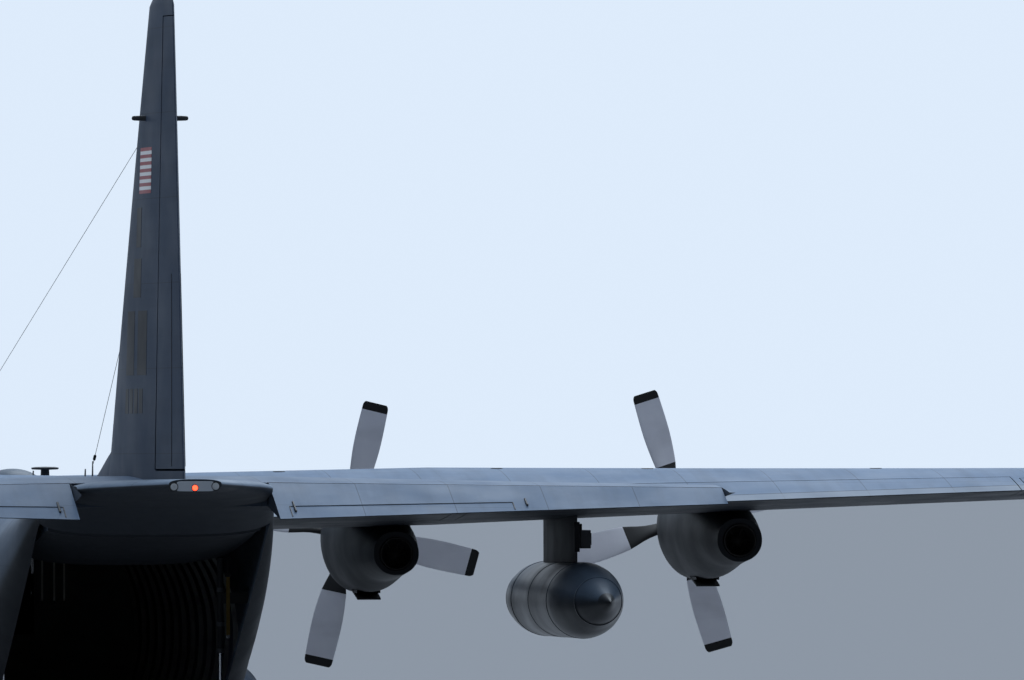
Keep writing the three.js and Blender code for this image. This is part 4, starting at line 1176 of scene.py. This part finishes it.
def rudder_nose(z):
    lead, chord, ratio = between(FIN_ROWS, z)
    return at(0, RUDDER_S, z), half_thick(chord, ratio, (RUDDER_S - lead) / chord) - 2


def hinge_block(nose, t0, t1, upright):
    """The space behind a hinge line."""
    rings = []
    for t in (t0, t1):
        centre = nose(t)[0]
        side = (Vector((1, 0, 0)) if upright else UP) * (HINGE_SPACE_HALF * SCALE)
        back = Vector((0, -HINGE_SPACE_LONG * SCALE, 0))
        rings.append([centre - side, centre + back - side, centre + back + side, centre + side])
    return Shape().loft(rings)


def hinge_rod(nose, t0, t1, more):
    """The round front edge along a hinge line, grown by some millimetres."""
    (p, r), (q, r2) = nose(t0), nose(t1)
    return Shape().tube([p, q], [r + more, r2 + more], 40)


def split_at_hinge(fixed, full, nose, t0, t1, upright=False):
    """Cuts a fixed piece free of its moving surface and shapes the moving one with its round nose."""
    way = math.copysign(1, t1 - t0)
    cut(fixed, hinge_block(nose, t0, t1, upright))
    cut(fixed, hinge_rod(nose, t0, t1, MOVE_GAP))
    m0, m1 = t0 + way * MOVE_GAP, t1 - way * MOVE_GAP
    cut(full, hinge_block(nose, m0, m1, upright), "INTERSECT")
    cut(full, hinge_rod(nose, m0, m1, 0), "UNION")


def flap_block(x0, x1, ahead):
    """The space of a flap, with some room ahead of its front edge."""
    rings = []
    for x in (x0, x1):
        chord = between(WING_ROWS, abs(x))[1]
        front, rear = FLAP_FRACTION * chord - ahead, chord + SPACE_BEHIND
        corners = ((front, -SPACE_UP), (rear, -SPACE_UP), (rear, SPACE_UP), (front, SPACE_UP))
        rings.append([wing_point(x, u, v) for u, v in corners])
    return Shape().loft(rings)


def finish_surface(obj, node):
    smooth(obj.data, 30)
    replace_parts(obj, node)


def make_outer_wing(side, way):
    xs = [way * x for x in steps(JOINT_X + 1, WING_ROWS[-2][0], 14) + tip_steps(WING_ROWS)]
    rings = [wing_ring(x) for x in xs]
    outer = Shape().loft(rings).make(f"wing_outer_skin_{side}", WING)
    aileron = Shape().loft(rings).make(f"aileron_skin_{side}", WING, f"aileron_{side}")
    outer_flap = Shape().loft(rings).make(f"flap_outer_skin_{side}", WING, f"flap_outer_{side}")
    inner_rings = [wing_ring(way * x) for x in steps(WING_ROOT_X, JOINT_X, 5)]
    inner_flap = Shape().loft(inner_rings).make(f"flap_inner_skin_{side}", WING, f"flap_inner_{side}")
    cut(outer, flap_block(*(way * x for x in FLAP_SPANS[1]), FLAP_AHEAD))
    split_at_hinge(outer, aileron, aileron_nose, way * (FLAP_END_X + JOINT_GAP), way * AILERON_END_X)
    for flap, (x0, x1) in zip((inner_flap, outer_flap), FLAP_SPANS):
        cut(flap, flap_block(way * (x0 + MOVE_GAP), way * (x1 - MOVE_GAP), 0), "INTERSECT")
    finish_surface(outer, f"wing_outer_{side}")
    finish_surface(aileron, f"aileron_{side}")
    finish_surface(outer_flap, f"flap_outer_{side}")
    finish_surface(inner_flap, f"flap_inner_{side}")


def make_wing():
    inner = steps(-JOINT_X, 0, 6) + steps(0, JOINT_X, 6)[1:]
    centre = Shape().loft([wing_ring(x) for x in inner]).make("wing_center_skin", WING)
    for _, way in SIDES:
        cut(centre, flap_block(*(way * x for x in FLAP_SPANS[0]), FLAP_AHEAD))
    finish_surface(centre, "wing_center")
    for side, way in SIDES:
        make_outer_wing(side, way)


def make_tailplane():
    half = steps(TAIL_ROWS[1][0], TAIL_ROWS[2][0], 8) + tip_steps(TAIL_ROWS)
    rings = [tail_ring(x) for x in [-x for x in reversed(half)] + [0] + half]
    stabilizer = Shape().loft(rings).make("stabilizer_skin", WING)
    cut_box(stabilizer, (-ELEVATOR_ROOT_X, ELEVATOR_S, 4000), (ELEVATOR_ROOT_X, 29000, 5000))
    for side, way in SIDES:
        elevator = Shape().loft(rings).make(f"elevator_skin_{side}", WING, "elevators")
        split_at_hinge(stabilizer, elevator, elevator_nose, way * ELEVATOR_ROOT_X, way * ELEVATOR_END_X)
        turn_shape(elevator, (ELEVATOR_S, TAIL_Z), ELEVATOR_DROOP)
        finish_surface(elevator, f"elevator_{side}")
    finish_surface(stabilizer, "stabilizer")


def dorsal_ridge():
    """The fillet ahead of the fin, which rises along the hull's roof."""
    bow = [(-a, b) for a, b in reversed(DORSAL_BOW)] + list(DORSAL_BOW[1:])
    rings = []
    for s in steps(17700, 22600, 16):
        half, top = DORSAL_ROWS(s)
        rings.append([at(half * a, s, FIN_FOOT + (top - FIN_FOOT) * b) for a, b in bow])
    return Shape().loft(rings)


def make_fin():
    rings = [fin_ring(z) for z in steps(FIN_FOOT, FIN_ROWS[-2][0], 14) + tip_steps(FIN_ROWS)]
    fin = Shape().loft(rings).make("fin_skin", FIN)
    rudder = Shape().loft(rings).make("rudder_skin", FIN, "rudder")
    cut_box(fin, (-700, RUDDER_S, RUDDER_LOW - MOVE_GAP), (700, 29500, RUDDER_LOW))
    split_at_hinge(fin, rudder, rudder_nose, RUDDER_LOW, RUDDER_TOP, upright=True)
    finish_surface(rudder, "rudder")
    cut(fin, dorsal_ridge(), "UNION")
    finish_surface(fin, "fin")


make_wing()
make_tailplane()
make_fin()

# Gear pods along the sides of the hull
POD_X = 1900
POD_ENDS = (10450, 18900)
POD_ROOMS = (
    ((1000, WELL["s0"], 0), (2560, WELL["s1"], WELL["top"])),
    ((2500, WELL["s0"], 0), (3000, WELL["s1"], WELL["side_top"])),
)
POD_ROWS = Table([
    (10450, 120, 1350, 950),
    (10900, 450, 1720, 720),
    (11700, 740, 1970, 590),
    (12400, 830, 2050, 545),
    (16000, 830, 2050, 545),
    (17300, 690, 1940, 640),
    (18300, 380, 1650, 860),
    (18900, 80, 1350, 1100),
])


def pod_ring(s):
    half, top, bottom = POD_ROWS(s)
    return oval(POD_X, s, half, top, bottom, (top + bottom) / 2, 2.6, 2.6, 64)


def pod_cap(s, bulge):
    """Rings that close an end of the pod to a round tip."""
    half, top, bottom = POD_ROWS(s)
    middle = (top + bottom) / 2
    rings = []
    for k in range(1, 7):
        turn = math.pi / 2 * k / 6.3
        share = math.cos(turn)
        high, low = middle + (top - middle) * share, middle - (middle - bottom) * share
        rings.append(oval(POD_X, s + bulge * math.sin(turn), half * share, high, low, middle, 2.3, 2.3, 64))
    return rings


def make_pod(side, way):
    rings = [pod_ring(s) for s in steps(*POD_ENDS, 90)]
    pod = Shape().loft(pod_cap(POD_ENDS[0], -110)[::-1] + rings + pod_cap(POD_ENDS[1], 80))
    if way < 0:
        pod.verts = [Vector((-v.x, v.y, v.z)) for v in pod.verts]
    obj = pod.make(f"gear_pod_skin_{side}", POD, slot="grey_paint", angle=40)
    cut(obj, hull_solid(10000, 19600, 400, inset=45))
    for room in POD_ROOMS:
        cut_box(obj, *on_side(way, room))
    smooth(obj.data, 40)
    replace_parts(obj, f"gear_pod_{side}")


for side, way in SIDES:
    make_pod(side, way)


# Aerials on the roof, the belly and the fin
DOME = {"s": 7700, "base": 4600, "radius": 470, "tall": 272}
DISH_S = 12000
DISH_FOOT = ((4560, 120), (4625, 112), (4640, 72), (4860, 64))
DISH_ROWS = ((4852, 60), (4858, 196), (4872, 210), (4886, 206), (4896, 150), (4900, 20))
ROOF_AERIALS = (
    # s, base, height, chord
    (17000, 4600, 265, 230),
    (17930, 4600, 380, 150),
    (3650, 4440, 300, 260),
    (10400, 4600, 240, 240),
)
BELLY_AERIALS = ((6500, 665, -230, 250), (9300, 665, -230, 250))
STUB_X = (-404, -396, -370, -300, -190)
WIRE_ENDS = (
    (at(0, 24690, 9705), at(-1420, 6000, 4090)),
    (at(0, 23690, 7801), at(0, 18020, 4930)),
)
WIRE_R = 4
INSULATOR_HALF = 90
INSULATOR_SHARES = (0.035, 0.965)
WIRE_MAST = (at(-1395, 5990, 4040), at(-1420, 6000, 4110))


def make_dome():
    turns = [math.pi / 2 * k / 10 for k in range(11)]
    base, radius, tall = DOME["base"], DOME["radius"], DOME["tall"]
    rows = [(base + tall * math.sin(a), max(2.0, radius * math.cos(a))) for a in turns]
    roof = Shape().upright(rows, 0, DOME["s"], 40)
    roof.make("roof_dome", RADOME, slot="radome_paint", angle=50)


def blade_aerials(name, rows):
    """Thin swept masts; a negative height hangs one below the hull."""
    masts = Shape()
    for s, base, tall, chord in rows:
        rings = []
        for k in range(7):
            f = k / 6
            half = chord / 2 * (1 - 0.45 * f)
            thick = 14 * (1 - 0.5 * f)
            middle = s + f * chord * 0.35
            turns = [2 * math.pi * i / 20 for i in range(20)]
            z = base + tall * f
            rings.append([at(thick * math.sin(t), middle + half * math.cos(t), z) for t in turns])
        masts.loft(rings)
    masts.make(name, ANTENNA, angle=50)


def make_aerials():
    make_dome()
    dish = Shape().upright(DISH_FOOT, 0, DISH_S).upright(DISH_ROWS, 0, DISH_S, 48)
    dish.make("roof_disc_aerial", ANTENNA, angle=40)
    blade_aerials("roof_blade_aerials", ROOF_AERIALS)
    blade_aerials("belly_blade_aerials", BELLY_AERIALS)
    stubs = Shape().tube([at(x, 26000, 9822) for x in STUB_X], [6, 26, 33, 36, 38], 16)
    stubs.mirrored().make("fin_stub_aerials", ANTENNA, angle=50)


def make_wires():
    """The two long wire aerials, taut between fin and fuselage."""
    wires = Shape()
    for a, b in WIRE_ENDS:
        wires.tube([a.lerp(b, k / 12) for k in range(13)], WIRE_R, 6)
        along = (b - a).normalized() * (INSULATOR_HALF * SCALE)
        for share in INSULATOR_SHARES:
            middle = a.lerp(b, share)
            places = [middle + along * f for f in (-1, -0.6, 0.6, 1)]
            wires.tube(places, [6, 22, 22, 6], 12, 1)
    wires.tube(WIRE_MAST, [40, 22], 14, 1)
    wires.make("wire_aerials", [ANTENNA, BLACK], angle=40)


# Marks on the fin, the tail end and the seams of the trim tabs
PLATE_LIFT = 3.0


def fin_side(s, z, way, out):
    """A place on the fin's skin, lifted by that many millimetres."""
    lead, chord, ratio = between(FIN_ROWS, z)
    return at(way * (half_thick(chord, ratio, (s - lead) / chord) + out), s, z)


def fin_plate(shape, s0, s1, z0, z1, way, paint):
    """A thin plate that lies on the fin's skin."""
    corners = ((z0, -8), (z0, PLATE_LIFT), (z1, PLATE_LIFT), (z1, -8))
    shape.loft([[fin_side(s, z, way, out) for z, out in corners] for s in steps(s0, s1, 8)], paint)


STRIPES = {"s": (25690, 26500), "z": (8757, 9406), "count": 13}
BARS = (
    # s0, s1, z0, z1
    (25560, 25900, 8000, 8560),
    (25420, 25960, 7290, 7840),
    (24960, 25560, 6190, 7100),
    (25800, 26400, 6190, 7100),
    (24960, 25200, 5650, 6000),
    (25290, 25530, 5650, 6000),
    (25620, 25860, 5650, 6000),
    (25950, 26190, 5650, 6000),
)
TAIL_PLATE = ((29700, 0), (29793, 0), (29800, 7))
TAIL_PLATE_SIDES = 48
TAIL_LENSES = (
    # x, z, radius, paint
    (-300, 4615, 52, 0),
    (284, 4622, 52, 0),
    (-5, 4600, 40, 2),
)


def make_fin_marks():
    marks = Shape()
    z0, z1 = STRIPES["z"]
    tall = (z1 - z0) / STRIPES["count"]
    for _, way in SIDES:
        for k in range(STRIPES["count"]):
            low = z0 + k * tall
            fin_plate(marks, *STRIPES["s"], low, low + tall, way, k % 2)
        for row in BARS:
            fin_plate(marks, *row, way, 2)
    marks.make("fin_stripes_and_bars", [RED, WHITE, MARK], angle=30)


def make_tail_end():
    """The plate across the end of the tail cone with its two lenses and its red lamp."""
    n = TAIL_PLATE_SIDES
    rings = [oval(0, s, 262 - less, 4692 - less, 4552 + less, 4622, 8, 8, n) for s, less in TAIL_PLATE]
    plate = Shape().loft(rings, caps=False)
    plate.face(range(2 * n, 3 * n))  # only the rear end is closed
    plate.make("tail_end_plate", PALE, angle=40)
    lenses = Shape()
    for x, z, r, paint in TAIL_LENSES:
        lenses.lathe([(29700, r + 12), (29796, r + 12), (29803, r + 6), (29800, r)], x, z, 28, 1)
        lenses.lathe([(29790, r), (29801, r * 0.95), (29808, r * 0.7), (29811, r * 0.2)], x, z, 28, paint)
    lenses.make("tail_lamps", [WHITE_LAMP, BLACK, RED_LAMP], angle=50)


def elevator_point(x, u, out):
    """A place over the drooped elevator, at a fraction of the chord."""
    lead, chord, ratio = between(TAIL_ROWS, abs(x))
    place = at(x, lead + u * chord, TAIL_Z + half_thick(chord, ratio, u) + out)
    centre = at(0, ELEVATOR_S, TAIL_Z)
    turn = Matrix.Rotation(math.radians(ELEVATOR_DROOP), 4, "X")
    return turn @ (place - centre) + centre


TAB_X = (1600, 4800)
RUDDER_TAB = ((4900, 0.905), (5500, 0.91), (6500, 0.915), (7600, 0.92))


def make_tab_lines():
    """Trim tabs: dark seams on the elevators and the rudder."""
    seams = Shape()
    for _, way in SIDES:
        seams.tube([elevator_point(way * x, 0.90, 1) for x in steps(*TAB_X, 8)], 9, 6)
        for x in TAB_X:
            seams.tube([elevator_point(way * x, u, 1) for u in (0.90, 0.94, 0.985)], 9, 6)
            seams.tube([elevator_point(way * x * 1.04, u, out) for u, out in ((0.86, 0), (0.95, 16))], 16, 8)
    seams.make("elevator_tab_seams", ANTENNA, "elevators", angle=60)
    tab = Shape()
    for _, way in SIDES:
        points = []
        for z, u in RUDDER_TAB:
            lead, chord, _ = between(FIN_ROWS, z)
            points.append(fin_side(lead + u * chord, z, way, 0.5))
        tab.tube(points, 8, 6)
    tab.make("rudder_tab_seams", ANTENNA, "rudder", angle=60)


# Boxes along the tanks' pylons
PYLON_BOXES = (
    ((7690, 14650, 3650), (7850, 15150, 3925)),
    ((7850, 14700, 3700), (7868, 15100, 3880), 1),
    ((7735, 13050, 3720), (7752, 13530, 4020), 1),
    ((7735, 13750, 3720), (7752, 14230, 4020), 1),
    ((7735, 14450, 3720), (7752, 14930, 4020), 1),
    ((7560, 15330, 3600), (7640, 15420, 4050), 1),
)

# Edges laid on the hull; each row of a rim is how far it is grown and how far it is lifted
WINDOW_RIM = ((30, -4), (27, 5), (23, 7), (2, 7), (-2, 4), (-3, -30))
PANEL_RIM = ((10, -3), (8, 3), (-8, 3), (-10, -3))
CAST_FROM = 700
PORTHOLES = (
    # s, z, radius
    (5640, 1930, 165),
    (10120, 2250, 165),
    (16650, 2650, 165),
)
DOOR_WINDOW = (18055, 2330, 150)
DOOR_HANDLE = ((2170, 18300), (2195, 18300), (2195, 18420), (2165, 18420))
PANELS = (
    # s0, s1, z0, z1, corner
    (5250, 5560, 1500, 1760, 30),
    (7300, 7900, 1200, 1560, 30),
    (9750, 10490, 1500, 2600, 90),
    (16300, 17000, 2050, 2980, 90),
)
PITOT_Z = (2350, 2180)


def hull_tree(s1, step):
    """Finds places on the hull's skin."""
    skin_shape = hull_solid(900, s1, step)
    return BVHTree.FromPolygons(skin_shape.verts, skin_shape.faces)


def skin_loop(tree, plane, outline, lift):
    """An outline laid on a skin, each point lifted by that many millimetres."""
    centre, side, out = plane
    loop = []
    for a, b in outline:
        start = centre + (side * a + UP * b) * SCALE + out * (CAST_FROM * SCALE)
        place = tree.ray_cast(start, -out)[0] or start - out * (CAST_FROM * SCALE)
        loop.append(place + out * (lift * SCALE))
    return loop


def rim(shape, tree, plane, outline_of, rows, paint=0):
    """A raised edge; outline_of gives the outline grown by some millimetres."""
    shape.loft([skin_loop(tree, plane, outline_of(grow), lift) for grow, lift in rows], paint, caps=False)


def make_window_frames():
    tree = hull_tree(6200, 60)
    frames = Shape()
    for *place, width, height in both_sides(WINDOWS):
        def pane(grow):
            return window_outline(width + 2 * grow, height + 2 * grow, WINDOW_CORNER + grow)
        rim(frames, tree, window_plane(*place), pane, WINDOW_RIM)
    frames.make("window_frames", ANTENNA, angle=40)
    wipers = Shape()
    line = [(-30 + 60 * k / 6, -235 + 300 * k / 6) for k in range(7)]
    for *place, _, _ in both_sides(WINDOWS[:2]):
        wipers.tube(skin_loop(tree, window_plane(*place), line, 20), 9, 8)
    wipers.make("wipers", BLACK, angle=60)


def side_plane(way, s, z):
    return at(way * 1500, s, z), Vector((0, -way, 0)), Vector((way, 0, 0))


def ring_outline(radius):
    turns = [2 * math.pi * k / 36 for k in range(36)]
    return [(radius * math.cos(t), radius * math.sin(t)) for t in turns]


def porthole(shape, tree, way, s, z, radius):
    plane = side_plane(way, s, z)
    edge = ((radius, -4), (radius - 2, 7), (radius * 0.84, 8), (radius * 0.80, 3), (radius * 0.79, 1))
    rim(shape, tree, plane, ring_outline, edge)
    rim(shape, tree, plane, ring_outline, ((radius * 0.8, 2), (radius * 0.4, 3), (4, 3)), 1)


def panel_edge(shape, tree, way, s0, s1, z0, z1, corner):
    """A thin raised edge round a panel on the hull's side."""
    def fine_outline(grow):
        outline = window_outline(s1 - s0 + 2 * grow, z1 - z0 + 2 * grow, corner + grow, 6)
        fine = []
        for p, q in zip(outline, outline[1:] + outline[:1]):
            fine += [(p[0] + (q[0] - p[0]) * k / 4, p[1] + (q[1] - p[1]) * k / 4) for k in range(4)]
        return fine
    rim(shape, tree, side_plane(way, (s0 + s1) / 2, (z0 + z1) / 2), fine_outline, PANEL_RIM, 2)


def make_pitots(tree):
    pitots = Shape()
    for _, way in SIDES:
        for z in PITOT_Z:
            base = tree.ray_cast(at(way * 3000, 1500, z), Vector((-way, 0, 0)))[0]
            out = Vector((way * 90 * SCALE, 0, 0))
            tip = Vector((0, 230 * SCALE, 0))
            places = [base - out * 0.3, base + out, base + out + tip * 0.25, base + out + tip]
            pitots.tube(places, [24, 18, 13, 9], 12)
    pitots.make("pitot_tubes", STEEL, slot="bright_steel", angle=50)


def make_side_pieces():
    tree = hull_tree(22000, 100)
    pieces = Shape()
    for _, way in SIDES:
        for row in PORTHOLES:
            porthole(pieces, tree, way, *row)
        for row in PANELS:
            panel_edge(pieces, tree, way, *row)
    pieces.make("side_portholes_and_panels", [ANTENNA, GLASS, MARK], angle=50)
    for name, way in SIDES:
        window = Shape()
        porthole(window, tree, way, *DOOR_WINDOW)
        window.tube([at(way * x, s, 1960) for x, s in DOOR_HANDLE], 12, 8)
        window.make(f"paratroop_door_window_{name}", [ANTENNA, GLASS], angle=50)
    make_pitots(tree)


# Pieces in the hold and on the ramp
FRAME_SECTION = ((0, 0), (0, 70), (46, 70), (46, 0))
FRAMES = (6700, 18500, 12)
RAIL_X = (560, 1180)
RAIL_S = (6400, 18600)
ROLLERS = (6700, 18300, 58)
STRAP_X = (-284, -103, 47)
SIDE_STRAP = (
    ((1640, 20520, 2440), (1694, 20530, 3300), 2),
    ((1622, 20512, 3290), (1712, 20538, 3345), 3),
    ((1640, 20516, 2400), (1694, 20534, 2446), 1),
)
ROD = {"x": 1594, "s": 20200}
ROD_FOOT = ((905, 44), (912, 50), (980, 50), (992, 40), (1040, 34))
ROD_BAND = ((1500, 27), (1506, 31), (1560, 31), (1566, 27))
CLAMP_ROWS = ((-30, 52), (-26, 60), (26, 60), (30, 52))
CLAMP_Z = (2216, 2600, 3100)
TREAD_BARS = (-1320, 1320, 11)
TREAD_S = (18990, 21980)
LASHING_X = (-1420, -940, -460, 460, 940, 1420)
LASHING_ROWS = (19300, 21700, 6)
LASHING_R = 42
STIFFENER_X = (-1100, -560, 0, 560, 1100)
STIFFENER_RINGS = (22350, 25000, 12)
STIFFENER_SECTION = ((-30, 128), (30, 128), (24, 185), (-24, 185))


def make_rollers():
    rails = Shape()
    for x in RAIL_X:
        for x0, x1 in ((x - 40, x - 28), (x + 28, x + 40)):
            rails.block((x0, RAIL_S[0], FLOOR_Z - 5), (x1, RAIL_S[1], FLOOR_Z + 28))
        for s in steps(*ROLLERS):
            rails.tube([at(x - 34, s, FLOOR_Z + 16), at(x + 34, s, FLOOR_Z + 16)], 12, 8)
    rails.mirrored().make("floor_rollers", STEEL, slot="bright_steel", angle=40)


def make_straps():
    rows = []
    for x in STRAP_X:
        rows.append(((x - 14, 14000, 2880), (x + 14, 14006, 4290)))
        rows.append(((x - 18, 13994, 2850), (x + 18, 14012, 2890), 3))
    straps = boxes([*rows, *SIDE_STRAP])
    straps.tube([at(1668, 20525, z) for z in (3340, 3560)], 9, 8, 3)
    straps.make("hold_straps", [WEBBING, STEEL, YELLOW, BLACK], slot="hold_lining", bevel=2)


def make_hold_pieces():
    """Frames, straps and rails that show through the open rear."""
    ribs = Shape()
    for s in steps(*FRAMES):
        rings = [hull_ring(s + ds, WALL - 4 + dz) for ds, dz in FRAME_SECTION]
        ribs.loft(rings + [rings[0]], caps=False)
    ribs.make("hold_frames", LINING, slot="hold_lining", angle=30)
    make_rollers()
    make_straps()
    clamps = Shape()
    for z in CLAMP_Z:
        clamps.upright([(z + dz, r) for dz, r in CLAMP_ROWS], ROD["x"], ROD["s"], 28)
        clamps.block((1560, 20136, z - 18), (1628, 20150, z + 18))
    clamps.mirrored().make("ramp_actuator_clamps", GEAR_DARK, slot="bright_steel", angle=40)
    for name, way in SIDES:
        foot = Shape().upright(ROD_FOOT, way * ROD["x"], ROD["s"], 24)
        foot.upright(ROD_BAND, way * ROD["x"], ROD["s"], 24, 1)
        foot.make(f"ramp_rod_end_{name}", [STEEL, YELLOW], f"ramp_rod_{name}", "bright_steel", angle=40)


def make_ramp_pieces():
    tread = Shape()
    for x in steps(*TREAD_BARS):
        tread.block((x - 14, TREAD_S[0], FLOOR_Z - 4), (x + 14, TREAD_S[1], FLOOR_Z + 9))
    for s in steps(*LASHING_ROWS):
        for x in LASHING_X:
            ring = circle(x, s, FLOOR_Z + 6, LASHING_R, 20, "xs")
            tread.tube(ring + ring[:1], 8, 6, 1)
    tread.make("ramp_tread", [FLOOR_GRIP, STEEL], "ramp", "ramp_paint", bevel=2)
    door = Shape()
    for x in STIFFENER_X:
        rings = []
        for s in steps(*STIFFENER_RINGS):
            half, _, bottom, middle, _, down = FUSELAGE(s)
            share = min(1.0, abs(x) / (half - 1))
            low = middle - (middle - bottom) * (1 - share**down) ** (1 / down)
            rings.append([at(x + dx, s, low + dz) for dx, dz in STIFFENER_SECTION])
        door.loft(rings)
    obj = door.make("aft_door_stiffeners", LINING, "aft_cargo_door", "grey_paint", bevel=3)
    turn_shape(obj, DOOR_AXIS, DOOR_OPEN)


# Brake pipes, links and lamps on the landing gear: points as x, s, z, for the main gear with s from the axle
LUG_Z = ((1010, 1080), (700, 770))
MAIN_LINK = ((1790, -108, 1045), (1790, -260, 890), (1790, -108, 735))
MAIN_PIPE = ((1880, 0, 640), (1870, 60, 900), (1850, 90, 1180), (1850, 90, 1400))
BRAKE_X = 1905
BRAKE_ROWS = ((-30, 60), (-30, 210), (30, 210), (30, 60))
NOSE_PIPE = ((95, 4250, 1000), (150, 4230, 1120), (110, 4220, 1400))
NOSE_LUGS = (
    ((-34, 4098, 1028), (34, 4146, 1092)),
    ((-34, 4100, 668), (34, 4150, 732)),
)
NOSE_LINK = ((0, 4112, 1060), (0, 3930, 860), (0, 4112, 700))
LAMP_ROWS = ((4030, 6), (4034, 70), (4060, 84), (4110, 60))
LAMP_ENDS = ((-160, 4100, 1220), (160, 4100, 1220))


def make_main_links():
    main = Shape()
    for axle in (WHEEL["front"], WHEEL["rear"]):
        for low, high in LUG_Z:
            main.block((1755, axle - 130, low), (1825, axle - 85, high))
        main.tube([at(x, axle + ds, z) for x, ds, z in MAIN_LINK], 24, 10)
        main.tube([at(x, axle + ds, z) for x, ds, z in MAIN_PIPE], 11, 8, 1)
        main.disc(BRAKE_ROWS, BRAKE_X, axle, WHEEL["r"], 40, 1)
    main.mirrored().make("main_gear_links", [GEAR, BLACK], slot="gear_metal", angle=35)


def make_nose_links():
    nose = Shape().tube([at(*p) for p in NOSE_PIPE], 10, 8, 1)
    for x, _, z in LAMP_ENDS:
        nose.lathe(LAMP_ROWS, x, z, 28, 2)
    nose.tube([at(*p) for p in LAMP_ENDS], 18, 10)
    nose.make("nose_gear_lamps_and_pipes", [GEAR, BLACK, WHITE_LAMP], slot="gear_metal", angle=40)
    link = boxes(NOSE_LUGS).tube([at(*p) for p in NOSE_LINK], 26, 10)
    link.make("nose_gear_torque_link", GEAR, "nose_gear_fork", "gear_metal", angle=40)


# Lamps at the wing tips and fuel caps on top of the wing
TIP_LAMP_ROWS = ((13220, 10), (13240, 36), (13300, 50), (13420, 44), (13480, 12))
TIP_LAMP_X = 20100
CAP_X = (3300, 6600, 8900, 12400, 16000)
CAP_CHORD = 0.35
CAP_ROWS = ((-12, 92), (4, 92), (7, 86), (7, 60), (3, 56), (3, 8))


def make_wing_pieces():
    tips = Shape()
    for paint, (_, way) in enumerate(SIDES):
        tips.lathe(TIP_LAMP_ROWS, way * TIP_LAMP_X, 4672, 20, paint)
    tips.make("wing_tip_lamps", [GREEN_LENS, RED_LENS], slot="grey_paint", angle=50)
    caps = Shape()
    for x in CAP_X:
        _, chord, ratio, _, _ = between(WING_ROWS, x)
        mean = 4 * WING_CAMBER * chord * CAP_CHORD * (1 - CAP_CHORD)
        top = wing_point(x, CAP_CHORD * chord, mean + half_thick(chord, ratio, CAP_CHORD))
        s, z = LENGTH / 2 - top.y / SCALE, top.z / SCALE
        caps.upright([(z + dz, r) for dz, r in CAP_ROWS], x, s, 28)
    caps.mirrored().make("fuel_caps", ANTENNA, angle=40)


make_aerials()
make_wires()
make_fin_marks()
make_tail_end()
make_tab_lines()
boxes(PYLON_BOXES).mirrored().make("pylon_boxes", [ANTENNA, NACELLE], bevel=8)
make_window_frames()
make_side_pieces()
make_hold_pieces()
make_ramp_pieces()
make_main_links()
make_nose_links()
make_wing_pieces()


# Studio: a pale floor, a soft light overhead and a soft surround that is brighter ahead than behind
SURROUND_COLOUR = (0.75, 0.86, 1.0, 1)
SURROUND_AHEAD = 0.97
SURROUND_BEHIND = 0.10
SURROUND_TURN = 0.7  # the change from behind to ahead runs over this much on either side
LIGHT_COLOUR = (0.80, 0.90, 1.0)
LIGHT_AIM = Vector((0, 0, 1.5))
LIGHTS = (
    # name, place, size, power
    ("key", (10, 18, 27), 22, 8000),
    ("fill", (-24, -10, 22), 26, 150),
)
FLOOR_COLOUR = (0.38, 0.39, 0.41, 1)
FLOOR_REACH = 900.0


def add_surround():
    world = bpy.data.worlds.new("surround")
    world.use_nodes = True
    tree = world.node_tree
    back = tree.nodes["Background"]
    back.inputs["Color"].default_value = SURROUND_COLOUR
    toward = add_node(tree, "ShaderNodeTexCoord").outputs["Generated"]
    split = add_node(tree, "ShaderNodeSeparateXYZ", {0: toward}).outputs
    lift = add_node(tree, "ShaderNodeMath", {0: split["Z"], 1: 0.8, 2: split["Y"]}, operation="MULTIPLY_ADD")
    span = {"From Min": -SURROUND_TURN, "From Max": SURROUND_TURN}
    glow = {"To Min": SURROUND_BEHIND, "To Max": SURROUND_AHEAD}
    fit = add_node(tree, "ShaderNodeMapRange", {"Value": lift.outputs[0], **span, **glow})
    tree.links.new(fit.outputs[0], back.inputs["Strength"])
    bpy.context.scene.world = world


def add_floor():
    material = bpy.data.materials.new("floor_pale")
    material.use_nodes = True
    shader = material.node_tree.nodes["Principled BSDF"]
    shader.inputs["Base Color"].default_value = FLOOR_COLOUR
    shader.inputs["Roughness"].default_value = 0.9
    mesh = bpy.data.meshes.new("floor")
    corners = [(x * FLOOR_REACH, y * FLOOR_REACH, 0) for x, y in ((-1, -1), (1, -1), (1, 1), (-1, 1))]
    mesh.from_pydata(corners, [], [(0, 1, 2, 3)])
    mesh.materials.append(material)
    floor = bpy.data.objects.new("floor", mesh)
    bpy.context.collection.objects.link(floor)


def add_light(name, place, size, power):
    data = bpy.data.lights.new(name, "AREA")
    data.shape = "DISK"
    data.size = size
    data.energy = power
    data.color = LIGHT_COLOUR
    light = bpy.data.objects.new(name, data)
    light.location = place
    light.rotation_euler = (LIGHT_AIM - Vector(place)).to_track_quat("-Z", "Y").to_euler()
    bpy.context.collection.objects.link(light)


add_floor()
add_surround()
for row in LIGHTS:
    add_light(*row)
bpy.context.scene.view_settings.view_transform = "Standard"
